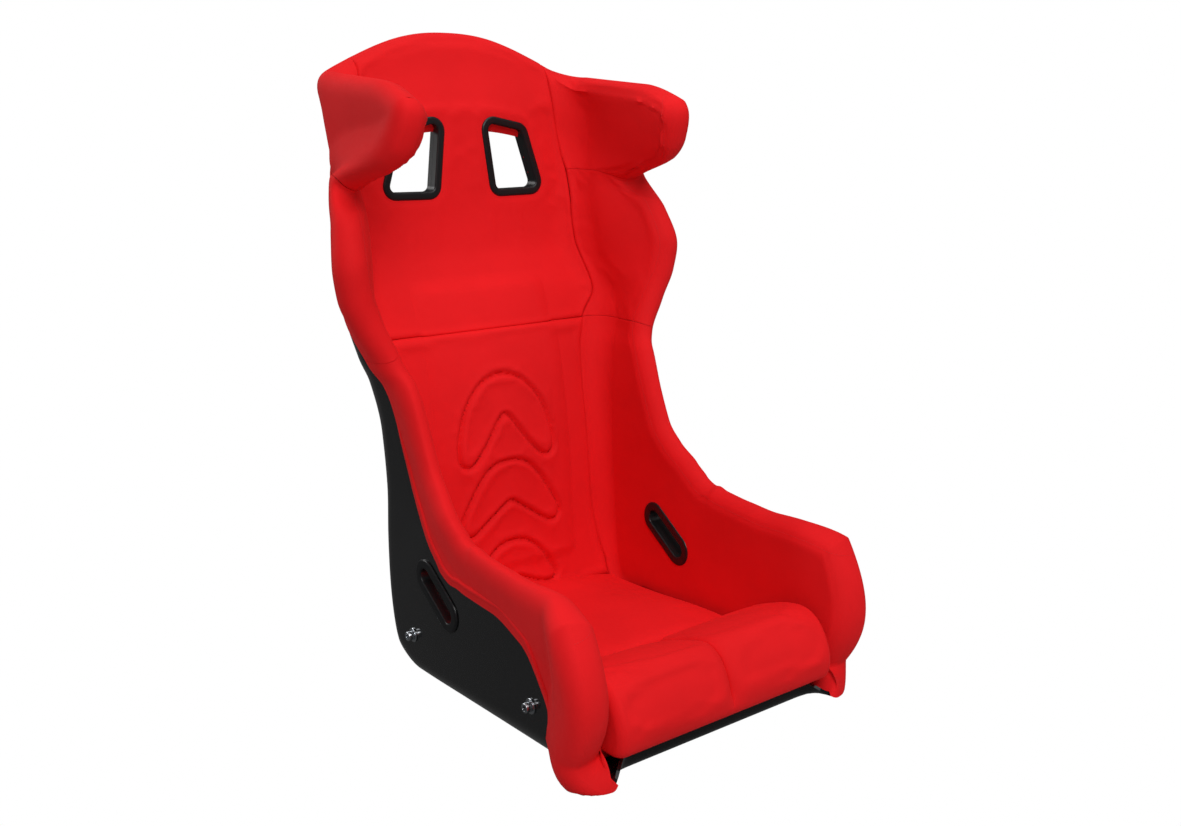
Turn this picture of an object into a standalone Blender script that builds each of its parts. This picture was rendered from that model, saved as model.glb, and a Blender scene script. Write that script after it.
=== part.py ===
"""A fixed-back racing seat: a glass-fibre bucket shell with upholstered foam.

The whole seat is drawn on one moulding surface.  `run` follows the seat from
the front lip, along the base, round the rear corner and up the back; `v` goes
across it, from the left rim (-1) over the centre line (0) to the right rim
(+1).  Every station below is one cross-section of that surface.  The shell is
a skin of one thickness on it, and the padding is foam and cloth on the inside,
turned over the rim and hemmed on the outside.

Metres, +Z up, the sitter looks along -Y, X is the plane of symmetry's normal.
"""
import math
from typing import NamedTuple

import bmesh
import bpy
import numpy as np
from mathutils import Matrix, Vector

# ---------------------------------------------------------------- dimensions
# the shell
SHELL_THICKNESS = 0.0045
TUB_HALF_WIDTH = 0.205          # flat side faces that take the side mounts
BASE_CORNER = 0.034             # radius between base and sides
LIP_RADIUS = 0.012              # front edge of the base, turned up
LIP_HEIGHT = 0.028
LIP_START_Y = -0.288
HEAD_TOP_Z = 0.873              # highest point of the seat, on the centre line
HEAD_SHOULDER_Z = 0.803         # where the head outline meets the wings
SIDE_FRONT_RUN = -0.472          # front edge of the side walls
SIDE_FRONT_BULGE = 0.034
SIDE_FRONT_SET_BACK = 0.008
WING_TOP_FALL = 0.016            # top edge of the head wings, from the head to the tip
WING_TIP_DROP = 0.018
WING_TIP_SHARE = 0.7
HEAD_OUTLINE_HALF_WIDTH = 0.260
BACK_RECESS_DEPTH = 0.005       # sunk panel down the back of the shell
BACK_RECESS_HALF_WIDTH = 0.112
BACK_RECESS_BOTTOM_Z = 0.085
BACK_RECESS_TOP_Z = 0.520
BACK_RECESS_EDGE = 0.022
# foam and cloth
BACK_FOAM = 0.016
BOLSTER_FOAM = 0.018
BOLSTER_RIM_FOAM = 0.022
SHOULDER_FOAM = 0.020
WING_FOAM = 0.028
THIGH_FOAM = 0.030
HEAD_FOAM = 0.022
LUMBAR_STEP = 0.005             # how far the lumbar pad stands proud
SIDE_BAND = 0.010               # padding under the cloth outside the rim
WING_BAND = 0.018
RIM_OVERHANG = 0.022            # padding beyond the edge of the shell
RIM_ROUNDING = 0.028
HEM_STEP = 0.003                # padding outside, at the hem
BAND_FADE = 8                   # the outer padding thins out over this many times itself
EDGE_SHARE = 0.25               # part of the overhang that is left at the base's front
ARCH_HEM_Z = 0.785              # the hem on the back of the head, on the centre line
ARCH_HEM_DROP = 0.085           # and how much lower it ends
ARCH_HEM_HALF_WIDTH = 0.180
SEAM_GAP = 0.0016
FIT_GAP = 0.0003
GLUE_GAP = 0.0012               # between shell and padding
# loose cushions
CUSHION_SIDE_GAP = 0.0040
CUSHION_JOINT_Y = -0.165        # where seat cushion and thigh cushion meet
CUSHION_REAR_Y = 0.1575
CUSHION_SIDE_Z = 0.052
CUSHION_CROWN = 0.020
CUSHION_REAR_RISE = 0.006
CUSHION_SEAM_Z = 0.034
CUSHION_RADII = (0.016, 0.030)   # rounding of the upper and the lower edges
HEEL_CLEARANCE = 1.35           # how much steeper than the base its underside rises at the rear
THIGH_REAR_Z = 0.080
THIGH_CREST_Z = 0.124
THIGH_CREST_Y = -0.268
THIGH_NOSE_Y = -0.331
THIGH_CHANNEL_DEPTH = 0.008
THIGH_SIDE_RISE = 0.005
THIGH_SEAM_Z = 0.036
THIGH_SEAM_RISE = 0.022          # of the seam, towards the front lip
THIGH_RADII = (0.014, 0.022)
THIGH_NOSE_LENGTH = 0.055
THIGH_CHANNEL_HALF_WIDTH = 0.010
STRIP_THICKNESS = 0.002
STRIP_PLACES = {"seat_cushion_strip_front": -0.085, "seat_cushion_strip_rear": 0.045,
                "thigh_cushion_strip": -0.225}
STRIP_CORNER_RADIUS = 0.006
STRIP_SIZE = (0.220, 0.040)
# shoulder-belt windows, right-hand one, seen from the front
WINDOW_CORNERS = ((0.044, 0.742), (0.096, 0.729), (0.121, 0.650), (0.058, 0.650))
WINDOW_CORNER_RADIUS = 0.009
WINDOW_FLANGE = 0.011
# lap-belt slots in the sides
LAP_SLOT_CENTRE = (0.028, 0.141)
LAP_SLOT_LENGTH = 0.088
LAP_SLOT_WIDTH = 0.023
LAP_SLOT_SLOPE = 35.0
LAP_FLANGE = 0.013
# crotch-belt slot in the base
CROTCH_SLOT_SIZE = (0.074, 0.022)
CROTCH_FLANGE = 0.008
# trim sections
BEZEL_PROUD = 0.0030
BEZEL_SINK = 0.0020              # of the window bezels' flanges into the cloth
LAP_BEZEL_SINK = 0.0015
FRONT_SLEEVE_LENGTH = 0.010
BEZEL_SLEEVE = 0.0020
# side fasteners
MOUNT_SPACING = 0.290
MOUNT_REAR_Y = 0.100
MOUNT_Z = 0.063
BOLT_RADIUS = 0.0039
BOLT_HEAD_RADIUS = 0.0065
BOLT_HEAD_HEIGHT = 0.0080
BOLT_HEAD_BEVEL = 0.0008
BOLT_SOCKET_APOTHEM = 0.0030
BOLT_SOCKET_DEPTH = 0.0045
BOLT_LENGTH = 0.0130
WASHER_RADIUS = 0.0100
WASHER_THICKNESS = 0.0016
INSERT_BARREL_RADIUS = 0.0060
INSERT_FLANGE_RADIUS = 0.0140
INSERT_FLANGE_THICKNESS = 0.0020
INSERT_DEPTH = 0.0110
BRACKET_LAND_RISE = 0.0005       # flat faces between the bolts, for the side brackets
BRACKET_LAND_HEIGHT = 0.048
BRACKET_LAND_END = 0.030         # from each bolt to the end of the land
ROUND_SEGMENTS = 12

# where the flat middle of a section ends, and where its side wall starts
V_LIP = 0.336                   # where the turned-up front lip starts to run out
V_FLAT = 0.45
V_SIDE = 0.62
SIDE_FLARE_POWER = 1.4
WAIST_RUN = 0.427               # top of the lumbar pad and fold of the cover
NOTCH_Z = 0.675                 # between shoulder bolster and head wing


class Station(NamedTuple):
    """One cross-section: its place on the spine, its form and its padding."""

    run: float        # place along the seat
    y: float          # spine point of the outer face
    z: float
    tilt: float       # way the side walls stand: 0 up, 90 forward
    half: float       # half width over the side walls
    corner: float     # radius between the flat middle and the side wall
    rim_x: float      # half width at the padded rim
    rim_depth: float  # from the spine to the padded rim
    foam: float       # padding in the middle of the section
    rim_foam: float   # padding at the rim
    band: float       # padding outside the rim
    seam: float       # v of the seam between middle and side padding
    hem: float        # v of the cloth's hem outside


TUB = TUB_HALF_WIDTH
STATIONS = (
    Station(-0.520, -0.355, 0.000, 0, 0.222, BASE_CORNER, 0.226, 0.190, BOLSTER_FOAM, THIGH_FOAM,
            0.020, 0.50, 0.56),
    Station(-0.460, -0.295, 0.000, 1, 0.219, BASE_CORNER, 0.224, 0.210, BOLSTER_FOAM, THIGH_FOAM,
            0.020, 0.50, 0.58),
    Station(-0.385, -0.220, 0.000, 5, TUB, BASE_CORNER, TUB, 0.223, BOLSTER_FOAM, BOLSTER_RIM_FOAM,
            0.016, 0.60, 0.74),
    Station(-0.320, -0.155, 0.000, 10, TUB, BASE_CORNER, TUB, 0.224, BOLSTER_FOAM, 0.020,
            0.013, 0.635, 0.86),
    Station(-0.220, -0.055, 0.000, 20, TUB, BASE_CORNER, TUB, 0.238, BOLSTER_FOAM, 0.019,
            0.011, 0.635, 0.90),
    Station(-0.120, 0.045, 0.000, 30, TUB, BASE_CORNER, TUB, 0.264, BOLSTER_FOAM, BOLSTER_FOAM,
            SIDE_BAND, 0.635, 0.90),
    Station(-0.055, 0.110, 0.000, 37, TUB, 0.036, TUB, 0.291, BOLSTER_FOAM, BOLSTER_FOAM,
            SIDE_BAND, 0.635, 0.90),
    Station(0.000, 0.168, 0.020, 43, TUB, 0.042, TUB, 0.304, BACK_FOAM, BOLSTER_FOAM,
            SIDE_BAND, 0.58, 0.90),
    Station(0.060, 0.188, 0.080, 49, TUB, 0.048, TUB, 0.272, BACK_FOAM, BOLSTER_FOAM,
            SIDE_BAND, 0.48, 0.89),
    Station(0.150, 0.196, 0.170, 58, 0.203, 0.050, 0.200, 0.215, BACK_FOAM, BOLSTER_FOAM,
            SIDE_BAND, V_FLAT, 0.87),
    Station(0.230, 0.198, 0.250, 68, 0.200, 0.050, 0.198, 0.172, BACK_FOAM, BOLSTER_FOAM,
            SIDE_BAND, V_FLAT, 0.84),
    Station(0.310, 0.205, 0.330, 78, 0.201, 0.052, 0.198, 0.150, BACK_FOAM, BOLSTER_FOAM,
            0.011, V_FLAT, 0.80),
    Station(0.380, 0.217, 0.400, 85, 0.210, 0.056, 0.200, 0.139, BACK_FOAM, BOLSTER_FOAM,
            0.012, V_FLAT, 0.78),
    Station(0.420, 0.227, 0.440, 90, 0.222, 0.060, 0.208, 0.131, BACK_FOAM, BOLSTER_FOAM,
            0.012, 0.46, 0.765),
    Station(0.470, 0.244, 0.490, 90, 0.230, 0.066, 0.236, 0.143, BACK_FOAM, BOLSTER_FOAM,
            0.013, 0.52, 0.745),
    Station(0.510, 0.262, 0.530, 90, 0.223, 0.070, 0.260, 0.162, BACK_FOAM, SHOULDER_FOAM,
            0.014, 0.53, 0.70),
    Station(0.550, 0.274, 0.570, 90, 0.215, 0.072, 0.268, 0.175, BACK_FOAM, SHOULDER_FOAM,
            0.014, 0.53, 0.64),
    Station(0.600, 0.277, 0.620, 90, 0.211, 0.068, 0.262, 0.158, BACK_FOAM, SHOULDER_FOAM,
            0.014, 0.53, 0.575),
    Station(0.650, 0.277, 0.670, 90, 0.213, 0.060, 0.249, 0.122, BACK_FOAM, SHOULDER_FOAM,
            0.016, 0.51, 0.56),
    Station(0.680, 0.277, 0.700, 90, 0.215, 0.058, 0.236, 0.205, BACK_FOAM, WING_FOAM,
            WING_BAND, 0.48, 0.52),
    Station(0.700, 0.277, 0.720, 90, 0.214, 0.056, 0.224, 0.248, BACK_FOAM, WING_FOAM,
            WING_BAND, 0.47, 0.50),
    Station(0.740, 0.277, 0.760, 90, 0.211, 0.056, 0.215, 0.264, BACK_FOAM, WING_FOAM,
            WING_BAND, 0.46, 0.48),
    Station(0.790, 0.291, 0.810, 90, 0.205, 0.054, 0.209, 0.247, HEAD_FOAM, WING_FOAM,
            WING_BAND, 0.46, 0.48),
    Station(0.880, 0.302, 0.900, 90, 0.196, 0.048, 0.198, 0.219, HEAD_FOAM, WING_FOAM,
            WING_BAND, 0.46, 0.48),
)
# rows are shared out in s: front edge, straight run of sections, head
S_FRONT = 0.12
S_HEAD = 0.80
RUN_FRONT = -0.385
RUN_HEAD = 0.600
BASE_END_RUN = 0.030            # past this the sheet is the back
SMALL_STEP = 2e-4
FOAM_STEP = 0.03
SEAM_SHARE = 1.4                # half a seam's gap as a part of v, per metre


# ------------------------------------------------------- the moulding surface
def rail(knots, values, at):
    """Monotone cubic through (knots, values): it never overshoots a station."""
    knots = np.asarray(knots, float)
    values = np.asarray(values, float)
    at = np.asarray(at, float)
    width = np.diff(knots)
    slope = np.diff(values) / width
    tangent = np.concatenate([[slope[0]], np.zeros(len(knots) - 2), [slope[-1]]])
    for i in range(1, len(knots) - 1):
        if slope[i - 1] * slope[i] > 0:
            before = 2 * width[i] + width[i - 1]
            after = width[i] + 2 * width[i - 1]
            tangent[i] = (before + after) / (before / slope[i - 1] + after / slope[i])
    i = np.clip(np.searchsorted(knots, at, side="right") - 1, 0, len(knots) - 2)
    t = (at - knots[i]) / width[i]
    return ((1 + 2 * t) * (1 - t) ** 2 * values[i] + t * (1 - t) ** 2 * width[i] * tangent[i]
            + t * t * (3 - 2 * t) * values[i + 1] + t * t * (t - 1) * width[i] * tangent[i + 1])


def along(field, run):
    """A station's field, read at any run."""
    knots = [station.run for station in STATIONS]
    return rail(knots, [getattr(station, field) for station in STATIONS], run)


def smooth(t):
    """Smooth step from 0 to 1."""
    t = np.clip(t, 0, 1)
    return t * t * (3 - 2 * t)


def side_share(v):
    """How far up the side wall v lies: 0 at its foot, 1 at the padded rim."""
    return np.maximum((np.abs(v) - V_SIDE) / (1 - V_SIDE), 0)


def corner_share(v):
    return np.clip((np.abs(v) - V_FLAT) / (V_SIDE - V_FLAT), 0, 1)


def sheet_point(run, v, inset=0.0):
    """A point on the outer face of the shell; `inset` draws the rims in."""
    run, v = np.broadcast_arrays(np.asarray(run, float), np.asarray(v, float))
    half = along("half", run)
    corner = along("corner", run)
    depth = along("rim_depth", run) - corner
    c = side_share(v) * (1 - inset / depth)
    angle = corner_share(v) * math.pi / 2
    x = (half - corner) * np.clip(np.abs(v) / V_FLAT, 0, 1) + corner * np.sin(angle)
    x = x + (along("rim_x", run) - half) * c ** SIDE_FLARE_POWER
    w = corner * (1 - np.cos(angle)) + depth * c
    tilt = np.radians(along("tilt", run))
    y = along("y", run) - w * np.sin(tilt)
    z = along("z", run) + w * np.cos(tilt)
    y = y - recess(x, z) * (w < corner)
    y, z = turned_up_lip(y, z, v)
    return np.stack([np.sign(v) * x, y, z], axis=-1)


def recess(x, z):
    """Depth of the sunk panel in the back of the shell."""
    across = smooth((BACK_RECESS_HALF_WIDTH - np.abs(x)) / BACK_RECESS_EDGE)
    up = smooth((z - BACK_RECESS_BOTTOM_Z) / BACK_RECESS_EDGE)
    down = smooth((BACK_RECESS_TOP_Z - z) / BACK_RECESS_EDGE)
    return BACK_RECESS_DEPTH * across * up * down


def turned_up_lip(y, z, v):
    """Bend the front of the base up; the side walls run straight on."""
    past = np.maximum(LIP_START_Y - y, 0)
    turn = LIP_RADIUS * math.pi / 2
    bend = np.minimum(past, turn) / LIP_RADIUS
    lip_y = LIP_START_Y - LIP_RADIUS * np.sin(bend)
    lip_z = z + LIP_RADIUS * (1 - np.cos(bend)) + np.maximum(past - turn, 0)
    share = np.where(past > 0, 1 - smooth((np.abs(v) - V_LIP) / (V_FLAT - V_LIP)), 0)
    return y + (lip_y - y) * share, z + (lip_z - z) * share


def run_limits(v, inset=0.0):
    """Where the sheet ends in front and at the head, for each v."""
    b = corner_share(v)
    c = side_share(v)
    lip_end = LIP_START_Y - LIP_RADIUS * (math.pi / 2 - 1) - LIP_HEIGHT - EDGE_SHARE * RIM_OVERHANG
    base_end = STATIONS[1].run + (lip_end - STATIONS[1].y)
    side_end = SIDE_FRONT_RUN - SIDE_FRONT_BULGE * (1 - (2 * c - 1) ** 2) + SIDE_FRONT_SET_BACK * c
    front = base_end + (side_end - base_end) * smooth(b)
    front = front + inset * np.maximum(smooth(2 * b - 1), EDGE_SHARE)
    head = STATIONS[-2]
    x = np.minimum(np.abs(v) / V_FLAT, 1) * (head.half - head.corner)
    x = x + head.corner * np.sin(b * math.pi / 2) + (head.rim_x - head.half) * c
    arch = 0.5 + 0.5 * np.cos(math.pi * np.clip(x / HEAD_OUTLINE_HALF_WIDTH, 0, 1) ** 1.2)
    top = HEAD_SHOULDER_Z + (HEAD_TOP_Z - HEAD_SHOULDER_Z) * arch
    top = top - WING_TOP_FALL * c
    top = top - WING_TIP_DROP * np.clip((c - WING_TIP_SHARE) / (1 - WING_TIP_SHARE), 0, 1) ** 2
    return front, top - (head.z - head.run) - inset


def run_of(s, v, inset=0.0):
    """Rows: s runs from 0 at the front edge to 1 at the top edge."""
    front, top = run_limits(v, inset)
    low = front + (RUN_FRONT - front) * s / S_FRONT
    middle = RUN_FRONT + (RUN_HEAD - RUN_FRONT) * (s - S_FRONT) / (S_HEAD - S_FRONT)
    high = RUN_HEAD + (top - RUN_HEAD) * (s - S_HEAD) / (1 - S_HEAD)
    return np.where(s < S_FRONT, low, np.where(s < S_HEAD, middle, high))


def row_at(run):
    """The s of a straight section."""
    return S_FRONT + (S_HEAD - S_FRONT) * (run - RUN_FRONT) / (RUN_HEAD - RUN_FRONT)


def sheet(s, v, inset=0.0, reach=SMALL_STEP):
    """Points and outward unit normals of the outer face.

    A longer reach averages the normals along the seat, for thick layers.
    """
    s, v = np.broadcast_arrays(np.asarray(s, float), np.asarray(v, float))
    points = sheet_point(run_of(s, v, inset), v, inset)
    ahead = sheet_point(run_of(s + reach, v, inset), v, inset)
    behind = sheet_point(run_of(s - reach, v, inset), v, inset)
    right = sheet_point(run_of(s, v + SMALL_STEP, inset), v + SMALL_STEP, inset)
    left = sheet_point(run_of(s, v - SMALL_STEP, inset), v - SMALL_STEP, inset)
    normals = np.cross(ahead - behind, right - left)
    normals /= np.linalg.norm(normals, axis=-1, keepdims=True)
    return points, normals


def outline():
    """The padded outline: up one rim, over the head and down the other."""
    edge = np.linspace(0, 1, 160)
    across = np.linspace(-1, 1, 120)
    front = np.linspace(V_SIDE, 1, 20)
    parts = [sheet_point(run_of(edge, np.full_like(edge, side)), side) for side in (-1, 1)]
    parts.append(sheet_point(run_of(np.ones_like(across), across), across))
    for side in (-1, 1):
        parts.append(sheet_point(run_of(np.zeros_like(front), side * front), side * front))
    return np.concatenate(parts)


OUTLINE = outline()


def rim_distance(points):
    """Distance of each point from the padded outline."""
    flat = points.reshape(-1, 3)
    distance = [np.sqrt(((OUTLINE - p) ** 2).sum(axis=1).min()) for p in flat]
    return np.array(distance).reshape(points.shape[:-1])


def edge_fullness(distance):
    """Elliptical fall of the padding towards the outline: 0 on it, 1 inside."""
    return np.sqrt(1 - (1 - np.clip(distance / RIM_ROUNDING, 0, 1)) ** 2)


# -------------------------------------------------------------- mesh helpers
def material(name, colour, roughness, metallic=0.0, coat=0.0):
    """A plain Principled material."""
    made = bpy.data.materials.new(name)
    made.use_nodes = True
    shader = made.node_tree.nodes["Principled BSDF"]
    shader.inputs["Base Color"].default_value = (*colour, 1.0)
    shader.inputs["Roughness"].default_value = roughness
    shader.inputs["Metallic"].default_value = metallic
    shader.inputs["Coat Weight"].default_value = coat
    made.diffuse_color = (*colour, 1.0)
    return made


def red_cloth(name):
    return material(name, (0.78, 0.012, 0.016), 0.85)


def black_gelcoat(name):
    return material(name, (0.006, 0.006, 0.007), 0.12, coat=1.0)


def black_plastic(name):
    return material(name, (0.012, 0.012, 0.013), 0.45)


def zinc(name):
    return material(name, (0.62, 0.64, 0.66), 0.30, metallic=1.0)


def black_strip(name):
    return material(name, (0.02, 0.02, 0.02), 0.95)


def add_object(name, verts, faces, look, parent, smooth_angle=None):
    """A closed mesh, its faces turned outwards, as a named object."""
    mesh = bpy.data.meshes.new(name)
    mesh.from_pydata([tuple(map(float, v)) for v in verts], [], faces)
    work = bmesh.new()
    work.from_mesh(mesh)
    bmesh.ops.recalc_face_normals(work, faces=work.faces)
    work.to_mesh(mesh)
    work.free()
    if smooth_angle is not None:
        mesh.shade_smooth()
        mesh.set_sharp_from_angle(angle=math.radians(smooth_angle))
    made = bpy.data.objects.new(name, mesh)
    made.data.materials.append(look(name + "_finish"))
    made.parent = parent
    bpy.context.collection.objects.link(made)
    return made


def closed_sheet(inner, outer, tolerance=2e-5):
    """Vertices and triangles of the solid between two point grids.

    Where the grids touch on their border they share vertices.
    """
    rows, cols = inner.shape[:2]
    verts = [inner[i, j] for i in range(rows) for j in range(cols)]
    index = {}
    for i in range(rows):
        for j in range(cols):
            border = i in (0, rows - 1) or j in (0, cols - 1)
            if border and np.linalg.norm(outer[i, j] - inner[i, j]) < tolerance:
                index[i, j] = i * cols + j
            else:
                index[i, j] = len(verts)
                verts.append(outer[i, j])
    faces = []

    def add(a, b, c):
        if len({a, b, c}) == 3:
            faces.append((a, b, c))

    for i in range(rows - 1):
        for j in range(cols - 1):
            corners = [(i, j), (i + 1, j), (i + 1, j + 1), (i, j + 1)]
            low = [k * cols + m for k, m in corners]
            high = [index[corner] for corner in corners]
            if low[0] == high[0] and low[2] == high[2]:
                low = low[1:] + low[:1]
                high = high[1:] + high[:1]
            add(low[0], low[2], low[1])
            add(low[0], low[3], low[2])
            add(high[0], high[1], high[2])
            add(high[0], high[2], high[3])
    ring = [(i, 0) for i in range(rows)] + [(rows - 1, j) for j in range(1, cols)]
    ring += [(i, cols - 1) for i in range(rows - 2, -1, -1)]
    ring += [(0, j) for j in range(cols - 2, 0, -1)]
    for (i, j), (k, m) in zip(ring, ring[1:] + ring[:1]):
        a, b = i * cols + j, k * cols + m
        add(a, b, index[k, m])
        add(a, index[k, m], index[i, j])
    return verts, faces


def swept_ring(path, profile, frame):
    """A closed profile carried round a closed flat path.

    path: (point, outward unit vector) pairs in the frame's XY plane.
    profile: (outward, up) offsets.  frame: Matrix from that plane to the seat.
    """
    verts = []
    for (px, py), (nx, ny) in path:
        for out, up in profile:
            verts.append(frame @ Vector((px + nx * out, py + ny * out, up)))
    count, size = len(path), len(profile)
    faces = []
    for i in range(count):
        k = (i + 1) % count
        for j in range(size):
            m = (j + 1) % size
            faces.append((i * size + j, k * size + j, k * size + m, i * size + m))
    return verts, faces


def prism(path, offset, low, high, frame):
    """A straight-sided solid over an outline, from low to high."""
    verts = []
    for up in (low, high):
        for (px, py), (nx, ny) in path:
            verts.append(frame @ Vector((px + nx * offset, py + ny * offset, up)))
    count = len(path)
    faces = [tuple(range(count)), tuple(range(count, 2 * count))]
    for i in range(count):
        k = (i + 1) % count
        faces.append((i, k, count + k, count + i))
    return verts, faces


def lathe(profile, segments, hexagonal=()):
    """Turn (radius, height) points about Z; a profile may start and end on the axis.

    The rings numbered in `hexagonal` are hexagons with the radius as apothem.
    """
    on_axis = profile[0][0] == 0
    verts = []
    rings = []
    for number, (radius, height) in enumerate(profile):
        if radius == 0:
            rings.append([len(verts)] * segments)
            verts.append(Vector((0, 0, height)))
            continue
        rings.append(list(range(len(verts), len(verts) + segments)))
        for k in range(segments):
            turn = 2 * math.pi * k / segments
            reach = radius
            if number in hexagonal:
                reach = radius / math.cos((turn % (math.pi / 3)) - math.pi / 6)
            verts.append(Vector((reach * math.cos(turn), reach * math.sin(turn), height)))
    if not on_axis:
        rings.append(rings[0])
    faces = []
    for low, high in zip(rings, rings[1:]):
        for k in range(segments):
            n = (k + 1) % segments
            corners = (low[k], low[n], high[n], high[k])
            faces.append(tuple(dict.fromkeys(corners)))
    return verts, faces


def unite(target, verts, faces):
    """Add a solid to the target, exactly."""
    name = f"{target.name}_addition_{len(target.modifiers) + 1}"
    tool = add_object(name, verts, faces, black_gelcoat, target.parent)
    tool.hide_render = True
    tool.display_type = "WIRE"
    step = target.modifiers.new("land", "BOOLEAN")
    step.operation = "UNION"
    step.object = tool


def cut(target, cutters):
    """Subtract the cutter solids from the target, exactly and at one go."""
    name = target.name + "_cutters"
    if name not in bpy.data.collections:
        step = target.modifiers.new("cuts", "BOOLEAN")
        step.operation = "DIFFERENCE"
        step.operand_type = "COLLECTION"
        step.collection = bpy.data.collections.new(name)
    tools = bpy.data.collections[name]
    for verts, faces in cutters:
        number = len(tools.objects) + 1
        tool = add_object(f"{target.name}_cutter_{number}", verts, faces, black_strip, target.parent)
        tool.hide_render = True
        tool.display_type = "WIRE"
        tools.objects.link(tool)


# ------------------------------------------------------------------ outlines
def rounded_polygon(corners, radius, steps):
    """(point, outward normal) pairs round a convex outline with round corners."""
    count = len(corners)
    area = sum(corners[i][0] * corners[(i + 1) % count][1]
               - corners[(i + 1) % count][0] * corners[i][1] for i in range(count))
    points = [Vector(c) for c in (corners if area > 0 else corners[::-1])]
    path = []
    for i in range(count):
        here = points[i]
        back = (points[i - 1] - here).normalized()
        on = (points[(i + 1) % count] - here).normalized()
        centre = here + (back + on).normalized() * radius / math.sin(back.angle(on) / 2)
        start = math.atan2(back.x, -back.y)
        end = math.atan2(-on.x, on.y)
        sweep = (end - start) % (2 * math.pi)
        for k in range(steps + 1):
            turn = start + sweep * k / steps
            normal = (math.cos(turn), math.sin(turn))
            path.append(((centre.x + radius * normal[0], centre.y + radius * normal[1]), normal))
    return path


def stadium(length, width, steps):
    """A slot outline with round ends, along X."""
    radius = width / 2
    reach = length / 2 - radius
    path = []
    for sign in (1, -1):
        for k in range(steps + 1):
            turn = -math.pi / 2 + math.pi * k / steps + (0 if sign > 0 else math.pi)
            normal = (math.cos(turn), math.sin(turn))
            path.append(((sign * reach + radius * normal[0], radius * normal[1]), normal))
    return path


# ------------------------------------------------------------------- shell
FLAT_COLUMNS = (0, 0.27, V_LIP, 0.393, V_FLAT)
CORNER_COLUMNS = tuple(V_FLAT + (V_SIDE - V_FLAT) * k / 4 for k in (1, 2, 3, 4))
SIDE_COLUMNS = tuple(V_SIDE + (1 - V_SIDE) * k / 4 for k in range(1, 5))
FRONT_ROWS = (0, 0.010, 0.022, 0.032, 0.041, 0.050, 0.085)
SECTION_RUNS = (-0.385, -0.320, -0.255, -0.190, -0.125, -0.075, -0.040, -0.015, 0.010,
                0.035, 0.070, 0.120, 0.180, 0.240, 0.300, 0.345, 0.385, 0.415,
                0.450, 0.485, 0.520, 0.560)
HEAD_ROWS = (0.80, 0.835, 0.858, 0.872, 0.895, 0.924, 0.950, 0.975, 1)
WING_ROWS = (0.835, 0.858, 0.872, 0.895, 0.924, 0.950, 0.970, 0.986, 0.996, 1)


def shell_rows():
    return FRONT_ROWS + tuple(row_at(run) for run in SECTION_RUNS) + HEAD_ROWS


def shell_columns():
    half = FLAT_COLUMNS + CORNER_COLUMNS + SIDE_COLUMNS
    return tuple(-v for v in reversed(half[1:])) + half


def shell_solid(clearance):
    """The shell, or the space it needs in its neighbours."""
    s, v = np.meshgrid(shell_rows(), shell_columns(), indexing="ij")
    outer, normals = sheet(s, v, RIM_OVERHANG)
    for edge, next_in in ((outer[0], outer[1]), (outer[-1], outer[-2]),
                          (outer[:, 0], outer[:, 1]), (outer[:, -1], outer[:, -2])):
        outwards = edge - next_in
        edge += outwards / np.linalg.norm(outwards, axis=-1, keepdims=True) * clearance
    inner = outer - normals * (SHELL_THICKNESS + clearance)
    return closed_sheet(inner, outer + normals * clearance)


def bare_side():
    """The space outside the part of the shell that the cloth leaves bare."""
    corner = CORNER_COLUMNS + (V_SIDE + 0.02,)
    rows = (-0.04,) + FRONT_ROWS + tuple(row_at(run) for run in SECTION_RUNS) + (S_HEAD,)
    arch = (0.25, 0.5, 0.75, 1)
    s = np.array(rows + (S_HEAD,) * len(arch))[:, None]
    share = np.array((0,) * len(rows) + arch)[:, None]
    hem = along("hem", run_of(s, 0.9))
    for _ in range(3):
        squeeze = np.minimum((hem - V_FLAT) / (corner[-1] + 0.02 - V_FLAT), 1)
        columns = [np.full_like(hem, v) for v in FLAT_COLUMNS]
        columns += [V_FLAT + (v - V_FLAT) * squeeze for v in corner]
        last = columns[-1]
        columns += [last + (hem - last) * k / 3 for k in (1, 2, 3)]
        half = np.concatenate(columns, axis=1)
        v = np.concatenate([-half[:, :0:-1], half], axis=1)
        rising = s + (hem_row(v) - s) * share
        hem = along("hem", run_of(rising[:, -1:], 0.5))
    points, normals = sheet(rising, v, RIM_OVERHANG)
    return closed_sheet(points - normals * SHELL_THICKNESS / 2, points + normals * 2 * WING_BAND)


def bracket_land(side):
    """The flat face on a side wall that the bracket lies against, as a thin block."""
    inner = TUB - SHELL_THICKNESS / 2
    outer = TUB + BRACKET_LAND_RISE
    rear = MOUNT_REAR_Y - BRACKET_LAND_END
    front = MOUNT_REAR_Y - MOUNT_SPACING + BRACKET_LAND_END
    low, high = MOUNT_Z - BRACKET_LAND_HEIGHT / 2, MOUNT_Z + BRACKET_LAND_HEIGHT / 2
    ring = [(front, low), (rear, low), (rear, high), (front, high)]
    verts = [(side * inner, y, z) for y, z in ring] + [(side * outer, y, z) for y, z in ring]
    faces = [(3, 2, 1, 0), (4, 5, 6, 7)]
    faces += [(k, (k + 1) % 4, (k + 1) % 4 + 4, k + 4) for k in range(4)]
    return verts, faces if side > 0 else [face[::-1] for face in faces]


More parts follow.
